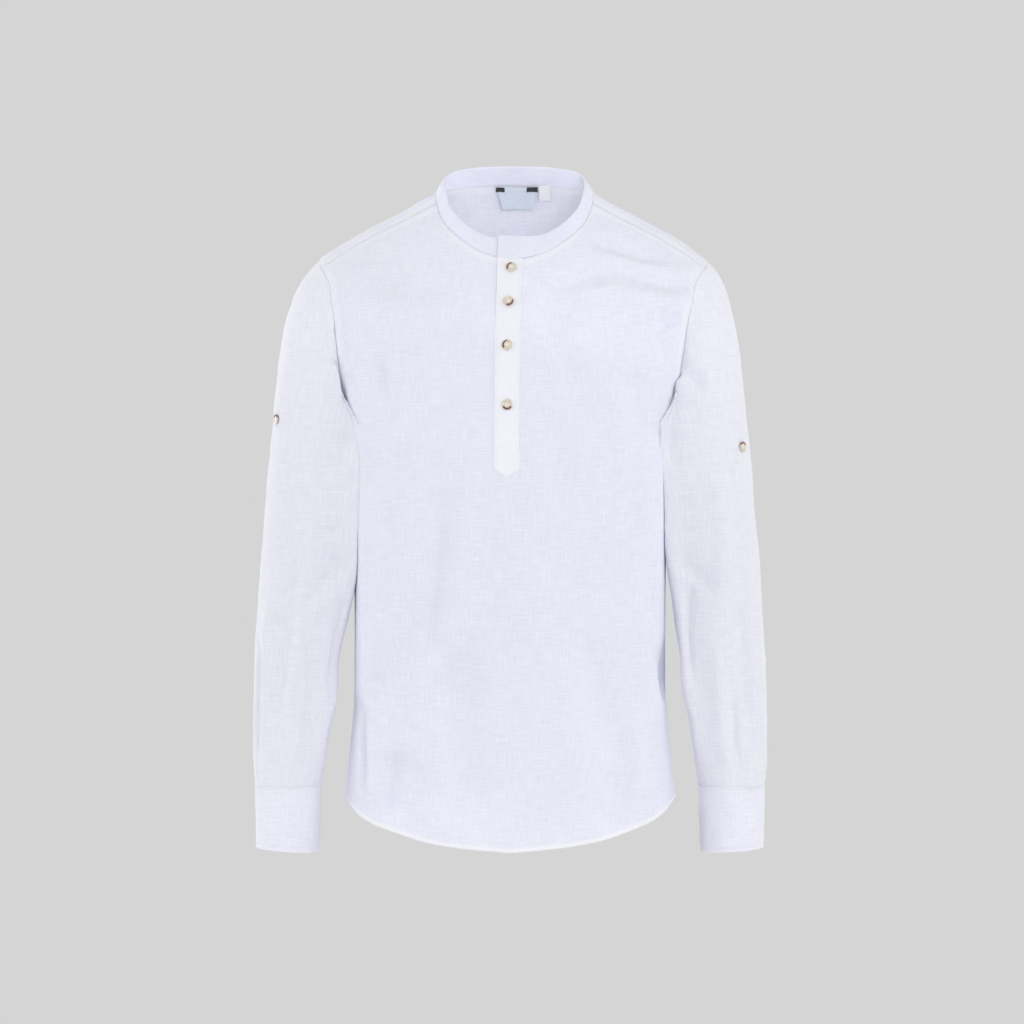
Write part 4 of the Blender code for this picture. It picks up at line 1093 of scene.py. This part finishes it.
def linen(name, light, dark, through=THROUGH_CLOTH):
    """Plain-woven linen: threads of uneven thickness both ways, slubs, and a slow unevenness."""
    made, tree, shader = new_material(
        name,
        Roughness=0.86,
        Sheen_Weight=0.12,
        Sheen_Roughness=0.6,
        Specular_IOR_Level=0.25,
        Subsurface_Weight=through,
        Subsurface_Radius=(1.0, 1.0, 1.0),
        Subsurface_Scale=THROUGH_DEPTH,
    )
    grain = linked(tree, "ShaderNodeUVMap", {"uv_map": "grain"})
    warp = grain_noise(tree, grain, THREADS, THREAD_RUN, 3.0)
    weft = grain_noise(tree, grain, THREAD_RUN, THREADS, 3.0)
    slow = grain_noise(tree, grain, 34, 20, 2.0)
    slubs = arithmetic(tree, "MAXIMUM", *(ranged(tree, noise, 0.56, 0.74) for noise in (warp, weft)))
    wave = {"Vector": grain, "Scale": 300.0, "Distortion": 1.2, "Detail": 1.0, "Detail_Scale": 1.5}
    weave = arithmetic(
        tree,
        "MULTIPLY",
        *(
            linked(tree, "ShaderNodeTexWave", {"bands_direction": way, "wave_profile": "SIN"}, 1, **wave)
            for way in ("X", "Y")
        ),
    )
    tone = weighted(tree, (warp, 0.46), (weft, 0.46), (slow, 0.08))
    colour = mix_colour(tree, ranged(tree, tone, 0.36, 0.62), dark, light)
    bright = tuple(min(part * 1.05, 1) for part in light)
    colour = mix_colour(tree, arithmetic(tree, "MULTIPLY", slubs, 0.5), colour, bright)
    layers = arithmetic(tree, "MULTIPLY", stored(tree, "layers"), 0.7)
    colour = mix_colour(tree, layers, colour, OPAQUE_CLOTH)
    height = weighted(tree, (weave, 0.3), (slubs, 0.45), (tone, 1.2))
    paint(tree, shader, colour, height, 0.42, 0.00035)
    return made


def woven_label(name, light, dark):
    """A closely woven ribbon with fine ribs across it."""
    made, tree, shader = new_material(name, Roughness=0.6, Sheen_Weight=0.2)
    grain = linked(tree, "ShaderNodeUVMap", {"uv_map": "grain"})
    ribs = grain_noise(tree, grain, 120, 2600, 1.0)
    threads = grain_noise(tree, grain, 2600, 300, 1.0)
    both = weighted(tree, (ribs, 0.6), (threads, 0.4))
    paint(tree, shader, mix_colour(tree, ranged(tree, both, 0.35, 0.65), dark, light), both, 0.5, 0.0002)
    return made


def sewing_thread(name, light, dark):
    made, tree, shader = new_material(name, Roughness=0.55, Sheen_Weight=0.2)
    place = linked(tree, "ShaderNodeTexCoord", output="Object")
    noise = linked(tree, "ShaderNodeTexNoise", Vector=place, Scale=2400.0)
    paint(tree, shader, mix_colour(tree, noise, dark, light))
    return made


def horn_button():
    """Cream resin with cloudy streaks and a brown marbled patch on one side of the rim."""
    made, tree, shader = new_material("button", Roughness=0.32, Coat_Weight=0.25, Coat_Roughness=0.25)
    place = linked(tree, "ShaderNodeTexCoord", output="Object")
    cloud = linked(tree, "ShaderNodeTexNoise", Vector=place, Scale=420.0, Distortion=1.2)
    cream = mix_colour(tree, ranged(tree, cloud, 0.3, 0.7), (0.62, 0.53, 0.41), (0.80, 0.73, 0.62))
    cream = mix_colour(tree, stored(tree, "pale"), cream, (0.80, 0.78, 0.72))
    dark = mix_colour(tree, ranged(tree, cloud, 0.35, 0.65), (0.10, 0.035, 0.012), (0.30, 0.13, 0.045))
    broken = ranged(tree, weighted(tree, (stored(tree, "brown"), 1), (cloud, 0.5)), 0.62, 0.95)
    paint(tree, shader, mix_colour(tree, broken, cream, dark))
    return made


MATERIALS = {
    "shirt_cloth": linen("shirt_linen", (0.855, 0.853, 0.968), (0.785, 0.783, 0.9)),
    # painted light: the body's linen painted a shade lighter for the sleeves, cuffs and their plackets, to
    # make up for the light they get less of than the body
    "sleeve_cloth_painted_lighter": linen("shirt_linen_sleeve_painted_lighter", (0.88, 0.878, 0.985), (0.81, 0.808, 0.922)),
    "label": woven_label("label_weave", (0.80, 0.86, 0.95), (0.70, 0.76, 0.86)),
    "tape": woven_label("tape_weave", (0.03, 0.03, 0.035), (0.008, 0.008, 0.01)),
    "tag": woven_label("tag_weave", (0.99, 0.99, 1.0), (0.92, 0.92, 0.95)),
    "band_cloth": linen("shirt_linen_band", (0.848, 0.85, 0.965), (0.80, 0.802, 0.91), 0.5),
    # the placket's linen is lighter than the body's: partly the whiter look of its several layers of cloth,
    # partly painted light that makes up for the light the strip gets less of
    "placket_cloth_layered_and_painted_lighter": linen("shirt_linen_placket_layered_and_painted_lighter", (0.945, 0.95, 1.0), (0.90, 0.905, 0.99), 0.35),
    "thread": sewing_thread("white_thread", (0.93, 0.93, 0.97), (0.86, 0.86, 0.92)),
    "button": horn_button(),
}

# ---------------------------------------------------------------- meshes


def add_piece(name, mesh, slot, *nodes, material=None):
    """Puts a mesh in the scene as a piece that rides on the shirt's one body."""
    mesh.materials.append(MATERIALS[material or slot])
    mesh.shade_smooth()
    piece = bpy.data.objects.new(name, mesh)
    bpy.context.scene.collection.objects.link(piece)
    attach(piece, "root")
    if nodes:
        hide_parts(*nodes)
    return piece


def new_mesh(name, points, faces):
    """A mesh from points in millimetres."""
    mesh = bpy.data.meshes.new(name)
    mesh.from_pydata((np.reshape(points, (-1, 3)) * MM).tolist(), [], faces)
    return mesh


def store(mesh, name, values):
    """Keeps a value for each point of a mesh, which its material reads."""
    attribute = mesh.attributes.new(name, "FLOAT", "POINT")
    attribute.data.foreach_set("value", values.astype(np.float32).ravel())


def grid_mesh(name, points, grain, closed=False, turned=False, layers=None):
    """A mesh of quads through a grid of points, with its grain as UVs in metres."""
    rows, width = points.shape[:2]
    i, j = np.meshgrid(np.arange(rows - 1), np.arange(width if closed else width - 1), indexing="ij")
    after = (j + 1) % width
    corners = [(i, j, j), (i, after, j + 1), (i + 1, after, j + 1), (i + 1, j, j)]
    if turned:
        corners = corners[::-1]
    faces = np.stack([r * width + c for r, c, _ in corners], axis=-1).reshape(-1, 4)
    mesh = new_mesh(name, points, faces.tolist())
    uv = np.stack([grain[r, g] for r, _, g in corners], axis=2) * MM
    mesh.uv_layers.new(name="grain").uv.foreach_set("vector", uv.astype(np.float32).ravel())
    if layers is not None:
        store(mesh, "layers", layers)
    return mesh


def add_cloth(name, node, points, wall, rounding=0.0, grain=None, slot="shirt_cloth", material=None, **grid):
    """A piece of cloth in place of a solid, with its outer surface through a grid of points. Its wall
    goes inwards, and the edges of a folded strip are rounded."""
    mesh = grid_mesh(name, points, plain_grain(points) if grain is None else grain, **grid)
    piece = add_piece(name, mesh, slot, node, material=material)
    solid = piece.modifiers.new("thickness", "SOLIDIFY")
    solid.thickness = wall * MM
    solid.offset = -1
    if rounding:
        bevel = piece.modifiers.new("rounded", "BEVEL")
        bevel.width = rounding * MM
        bevel.segments = 2
        bevel.limit_method = "ANGLE"
        bevel.angle_limit = math.radians(55)
    return piece


# ---------------------------------------------------------------- stitches

STITCH_LENGTH = 2.5
STITCH_PITCH = 3.2
THREAD_RADIUS = 0.2
BUTTON_THREAD_RADIUS = 0.24

# Stitch lines: the edge of a piece, how far from it, and how far short of the edge's ends
HEM_SEWING = ("first_row", HEM_STITCHES, 1)
CUFF_SEWING = (
    ("first_row", 1.6, 2),
    ("first_row", 5.4, 2),
    ("last_row", 5.0, 3),
    ("first_column", 2.0, 3),
    ("last_column", 2.0, 3),
)
STRIP_SEWING = (("first_column", 1.8, 2), ("last_column", 1.8, 2), ("first_row", 1.8, 2))
PLACKET_SEWING = (("first_column", 2.2), ("last_column", 2.2), ("first_row", 2.2, 2))
BAND_SEWING = (("first_row", 2.0, 3), ("last_row", 2.2, 5), ("first_column", 2.2, 3), ("last_column", 2.2, 3))

# A spindle of thread: share of its length, lift off the cloth and share of its radius
SPINDLE = "share lift size"
STITCH_RINGS = table(SPINDLE, (0, -0.15, 0.3), (0.2, 0.12, 1), (0.8, 0.12, 1), (1, -0.15, 0.3))
BAR_RINGS = table(SPINDLE, (0, -0.3, 0.7), (0.2, 0, 1), (0.8, 0, 1), (1, -0.3, 0.7))


def spindles(name, start, end, out, rings, sides, radius, capped):
    """Straight lengths of thread from starts to ends, on a cloth whose outward normals are out."""
    way = unit(end - start)
    across = unit(np.cross(way, out))
    points = []
    for ring in rings:
        centre = between(start, end, ring.share) + out * ring.lift
        for angle in np.arange(sides) * TURN / sides:
            points.append(centre + (across * math.cos(angle) + out * math.sin(angle)) * radius * ring.size)
    pairs = [(k, (k + 1) % sides) for k in range(sides)]
    count = len(rings) * sides
    quads = [
        (r + k, r + after, r + sides + after, r + sides + k)
        for r in range(0, count - sides, sides)
        for k, after in pairs
    ]
    if capped:
        quads += [tuple(range(sides))[::-1], tuple(range(count - sides, count))]
    faces = [[count * number + k for k in face] for number in range(len(start)) for face in quads]
    return new_mesh(name, np.stack(points, axis=1), faces)


def stitch_places(line, normals):
    """(starts, ends, normals) of the stitches along a line."""
    along = lengths(line, 0)
    at = np.arange(STITCH_PITCH / 4, along[-1] - STITCH_PITCH / 4, STITCH_PITCH / 2)
    points, out = (
        together(*(np.interp(at, along, axis) for axis in values.T)) for values in (line, normals)
    )
    whole = len(points) // 2 * 2
    start, end = points[0:whole:2], points[1:whole:2]
    middle, half = (start + end) / 2, unit(end - start) * STITCH_LENGTH / 2
    return middle - half, middle + half, unit(out)[0:whole:2]


def add_stitches(name, lines):
    """Small sunken stitches along lines of (points, outward normals)."""
    places = zip(*(stitch_places(*line) for line in lines))
    start, end, out = (np.concatenate(values) for values in places)
    mesh = spindles(name, start, end, out, STITCH_RINGS, 4, THREAD_RADIUS, True)
    return add_piece(name, mesh, "shirt_cloth", material="thread")


def add_bars(name, bars):
    """Short straight bars of thread, from (start, end, outward normal)."""
    start, end, out = (np.array(values, float) for values in zip(*bars))
    mesh = spindles(name, start, end, out, BAR_RINGS, 6, BUTTON_THREAD_RADIUS, False)
    add_piece(name, mesh, "button", material="thread")


def turned_grid(points, edge):
    """A grid with the named edge as the first row."""
    if edge.endswith("column"):
        points = points.swapaxes(0, 1)
    return points[::-1] if edge.startswith("last") else points


def edge_line(points, out, edge, distance, ends=0.0):
    """A stitch line along an edge of a grid, stopping short of its ends by a distance."""
    points, out = turned_grid(points, edge), turned_grid(out, edge)
    along, columns = lengths(points, 0), np.arange(len(points[0]))
    rows = np.array([np.interp(distance, along[:, k], range(len(points))) for k in columns])
    line, normals = sample(points, rows, columns), sample(out, rows, columns)
    run = lengths(line, 0)
    kept = (run >= ends) & (run <= run[-1] - ends)
    return line[kept], normals[kept]


def edge_lines(points, out, *rows):
    return [edge_line(points, out, *row) for row in rows]


# ---------------------------------------------------------------- buttons

# Of a button: radius and height of each ring of its profile, from the middle of its face outwards
BUTTON_PROFILE = table(
    "radius height",
    *((0.02, 1.95), (1.2, 1.93), (2.4, 1.9), (3.2, 1.93)),  # the dished face
    *((3.7, 2.1), (4.1, 2.42), (4.5, 2.56), (4.9, 2.56), (5.3, 2.4), (5.6, 2.05)),  # its rim
    *((5.7, 1.6), (5.4, 1.0), (4.4, 0.4), (3.4, 0.15), (0.02, 0.1)),  # its side and back
)
BUTTON_SIDES = 48
BUTTON_OFF = 0.3  # from the cloth to a button's back
BROWN_HALF_ANGLE = 78  # of the brown patch on the rim
HOLES = (1.9, 0.55)  # how far the ends of its two threads are from its middle
BUTTONHOLE_LENGTH = 13.5
BUTTONHOLE_WIDTH = 2.4
BUTTONHOLE_PITCH = 0.55  # from one close stitch to the next

# The front's buttons: the middle of each, its column on the placket and where its brown patch is
FRONT_BUTTONS = table(
    "drop column brown_angle", (88.5, 9.2, 150), (126, 7.9, -50), (174, 8.2, 160), (238, 8.4, -90)
)
BUTTON_SINK = 1.2  # how much lower than that they are sewn on


def button_mesh(name, brown_angle):
    """A turned button. The brown patch's middle is at an angle from the button's own +X."""
    turns = np.linspace(0, TURN, BUTTON_SIDES + 1)[:-1]
    radius, height = np.array(BUTTON_PROFILE).T[..., None]
    points = together(radius * np.cos(turns), radius * np.sin(turns), height)
    whole = np.concatenate([points, points[:, :1]], axis=1)
    mesh = grid_mesh(name, points, plain_grain(whole), closed=True, turned=True)
    off = (np.degrees(turns)[None] - brown_angle + 180) % 360 - 180
    store(mesh, "brown", fade((radius - 3.3) / 0.7) * fade((BROWN_HALF_ANGLE - np.abs(off)) / 26))
    store(mesh, "pale", fade((2.6 - radius) / 1.1) + 0 * off)
    return mesh


def add_button(name, grid, out, row, column, brown_angle):
    """A button on a place of a cloth's grid: (bars of its thread, place, outward normal)."""
    place, normal = sample(grid, row, column), unit(sample(out, row, column))
    piece = add_piece(name, button_mesh(name, brown_angle), "button", name)
    turn = Vector((0, 0, 1)).rotation_difference(Vector(normal)).to_matrix().to_4x4()
    upright = turn.inverted() @ Vector((0, 0, 1, 0))
    turn = turn @ Matrix.Rotation(math.atan2(upright.y, upright.x) - math.pi / 2, 4, "Z")
    back = place + normal * BUTTON_OFF
    piece.data.transform(Matrix.Translation(Vector(back) * MM) @ turn)
    reach, aside = HOLES
    bars = []
    for offset in (-aside, aside):
        ends = [turn @ Vector((along, offset, 2.0)) for along in (-reach, reach)]
        bars.append((*(back + np.array(end) for end in ends), normal))
    return bars, place, normal


def buttonhole_bars(place, out):
    """The close stitches round a vertical buttonhole."""
    down = unit(np.array([0, 0, -1.0]) - out * -out[2])
    across = unit(np.cross(down, out))
    bars = []
    for along in np.arange(-BUTTONHOLE_LENGTH / 2, BUTTONHOLE_LENGTH / 2, BUTTONHOLE_PITCH):
        for side in (-1, 1):
            start = place + down * along + across * side * 0.25 + out * 0.1
            bars.append((start, start + across * side * BUTTONHOLE_WIDTH / 2, out))
    return bars


# ---------------------------------------------------------------- the shirt

points = panel_points(neck_front_angles(), SHOULDER_ARM_ANGLE, ARMHOLE_FRONT_STEPS, FRONT_LENGTH, False)
front, front_out, grain, layers = finish_panel("front", points, 11)
front_piece = add_cloth("front_cloth", "front", front, SHELL, grain=grain, layers=layers)

points = panel_points(neck_back_angles(), TURN + SHOULDER_ARM_ANGLE, ARMHOLE_BACK_STEPS, BACK_LENGTH, True)
back, _, grain, layers = (grid[:, ::-1] for grid in finish_panel("back", points, 15))
back_out = normals_of(back)
back_piece = add_cloth("back_cloth", "back", back, SHELL, grain=grain, layers=layers)

band, band_out = band_shell()
look = {"material": "band_cloth", "turned": True}
band_piece = add_cloth("collar_cloth", "collar_band", band, BAND_WALL, 0.6, **look)

placket, placket_out = placket_shell(front, front_out, STRIP_WALL + 0.25, PLACKET_BOTTOM, 1, PLACKET_GAPE)
# the placket wears the lighter linen, partly its layers' own whiteness and partly painted light
placket_piece = add_cloth("placket_cloth_layered_and_painted_lighter", "placket", placket, STRIP_WALL, 0.4, material="placket_cloth_layered_and_painted_lighter")
under_bottom = PLACKET_BOTTOM - UNDER_SHORTER
under, _ = placket_shell(front, front_out, -SHELL - 0.4, under_bottom, UNDER_WIDTH, 0)
under_piece = add_cloth("placket_under_cloth", "placket_under", under, STRIP_WALL, 0.4)

sleeve_pieces, cuff_pieces, strip_pieces, thread_pieces = {}, {}, {}, {}
for side, word, tab in ((1, "left", TAB_BUTTONS[0]), (-1, "right", TAB_BUTTONS[1])):
    # the sleeves, cuffs and their plackets wear the linen painted a shade lighter, which stands in for light
    look = {"material": "sleeve_cloth_painted_lighter", "turned": side < 0}
    name = f"sleeve_{word}"
    sleeve, sleeve_out, grain = sleeve_shell(side, name, 60 + 5 * side)
    sleeve_pieces[word] = add_cloth(f"{name}_cloth", name, sleeve, SHELL, grain=grain, closed=True, **look)
    name = f"cuff_{word}"
    cuff, cuff_out = cuff_shell(side)
    cuff_pieces[word] = add_cloth(f"{name}_cloth", name, cuff, BAND_WALL, 0.6, **look)
    name = f"cuff_strip_{word}"
    strip, strip_out = strip_shell(sleeve, sleeve_out)
    strip_pieces[word] = add_cloth(f"{name}_cloth", name, strip, STRIP_WALL, 0.4, **look)
    lines = edge_lines(cuff, cuff_out, *CUFF_SEWING) + edge_lines(strip, strip_out, *STRIP_SEWING)
    thread_pieces[word] = add_stitches(f"thread_sleeve_{word}", lines)
    column = (math.radians(tab.angle) - math.pi) % TURN / TURN * SLEEVE_COLUMNS
    row = row_at(sleeve, column, tab.drop, 1)
    bars, _, _ = add_button(f"tab_button_{word}", sleeve, sleeve_out, row, column, 90)
    place = len(cuff) * 0.5, len(cuff[0]) - 5
    bars += add_button(f"cuff_button_{word}", cuff, cuff_out, *place, 200)[0]
    add_bars(f"thread_buttons_{word}", bars)

bars = []
for number, press in enumerate(FRONT_BUTTONS, start=1):
    row = row_at(placket, press.column, press.drop + BUTTON_SINK)
    where = placket, placket_out, row, press.column
    held, place, normal = add_button(f"button_{number}", *where, press.brown_angle)
    bars += held + buttonhole_bars(place + normal * 0.05, normal)
add_bars("thread_buttons_front", bars)

for tag in TAGS:
    points, _ = tag_shell(tag)
    add_cloth(f"{tag.name}_weave", tag.name, points, TAG_WALL, slot=tag.slot)

lines = edge_lines(front, front_out, HEM_SEWING) + edge_lines(placket, placket_out, *PLACKET_SEWING)
front_thread = add_stitches("thread_front", lines)
hem_line, top_line = edge_lines(back, back_out, HEM_SEWING, ("last_row", 2.2))
shoulders = [
    tuple(values[columns] for values in top_line)
    for columns in (slice(2, SHOULDER_STEPS), slice(-SHOULDER_STEPS, -2))
]
back_thread = add_stitches("thread_back", [hem_line, *shoulders])
band_thread = add_stitches("thread_collar", edge_lines(band, band_out, *BAND_SEWING))

# ---------------------------------------------------------------- stage, lights and camera

BACKDROP = 0.665  # linear grey of what stands behind the shirt
DAYLIGHT = (0.93, 0.945, 1.0)
MIDDLE = (0, 0, -0.35)
LIGHTS = table(
    "name place target size power colour",
    ("front", (1.0, -3.75, 0.1), MIDDLE, 1.4, 35.5, DAYLIGHT),
    ("key", (3.1, -1.8, 0.4), MIDDLE, 2.4, 20, DAYLIGHT),
    ("fill", (-3.3, -0.9, 0.0), MIDDLE, 2.4, 27.5, DAYLIGHT),
    ("below", (0.3, -2.4, -2.6), (0, 0, -0.2), 2.0, 4, DAYLIGHT),
    ("behind", (-2.4, 2.8, 0.8), MIDDLE, 2.4, 42, DAYLIGHT),
    ("behind_low", (2.2, 3.0, -0.4), MIDDLE, 2.4, 26, DAYLIGHT),
    # a small lamp in the hollow of the chest, which lights the inside of the neck and its labels
    ("inside", (0.045, -0.02, -0.235), (0.055, 0.09, -0.03), 0.12, 0.125, (0.97, 1, 0.95)),
)


def add_stage():
    """A plain pale floor, far below a shirt that is held at shoulder height."""
    bpy.ops.mesh.primitive_circle_add(vertices=96, radius=1.7, fill_type="NGON", location=(0, 0, -1.45))
    floor = bpy.context.object
    floor.name = "floor"
    made, _, shader = new_material("floor_paint", Roughness=0.9)
    shader.inputs["Base Color"].default_value = (0.72, 0.72, 0.72, 1)
    floor.data.materials.append(made)


def add_lights():
    """An even grey world and soft square lights, each of which faces its target."""
    world = bpy.data.worlds.new("studio")
    world.use_nodes = True
    world.node_tree.nodes["Background"].inputs[0].default_value = (BACKDROP, BACKDROP, BACKDROP, 1)
    world.node_tree.nodes["Background"].inputs[1].default_value = 1.0
    bpy.context.scene.world = world
    for row in LIGHTS:
        light = bpy.data.lights.new(row.name, "AREA")
        light.shape = "SQUARE"
        light.size = row.size
        light.energy = row.power
        light.color = row.colour
        lamp = bpy.data.objects.new(row.name, light)
        lamp.visible_camera = False
        lamp.location = row.place
        lamp.rotation_mode = "QUATERNION"
        lamp.rotation_quaternion = (Vector(row.target) - Vector(row.place)).to_track_quat("-Z", "Y")
        bpy.context.scene.collection.objects.link(lamp)
    bpy.context.scene.view_settings.view_transform = "Standard"
    bpy.context.scene.view_settings.look = "None"


def add_camera():
    """Level with the middle of the shirt, four metres in front of it."""
    camera = bpy.data.cameras.new("camera")
    camera.sensor_width = 36
    camera.lens = 127.8
    holder = bpy.data.objects.new("camera", camera)
    holder.location = (0.0022, -4.0, -0.354)
    holder.rotation_euler = (math.radians(90), 0, 0)
    bpy.context.scene.collection.objects.link(holder)
    bpy.context.scene.camera = holder


add_stage()
add_lights()
add_camera()
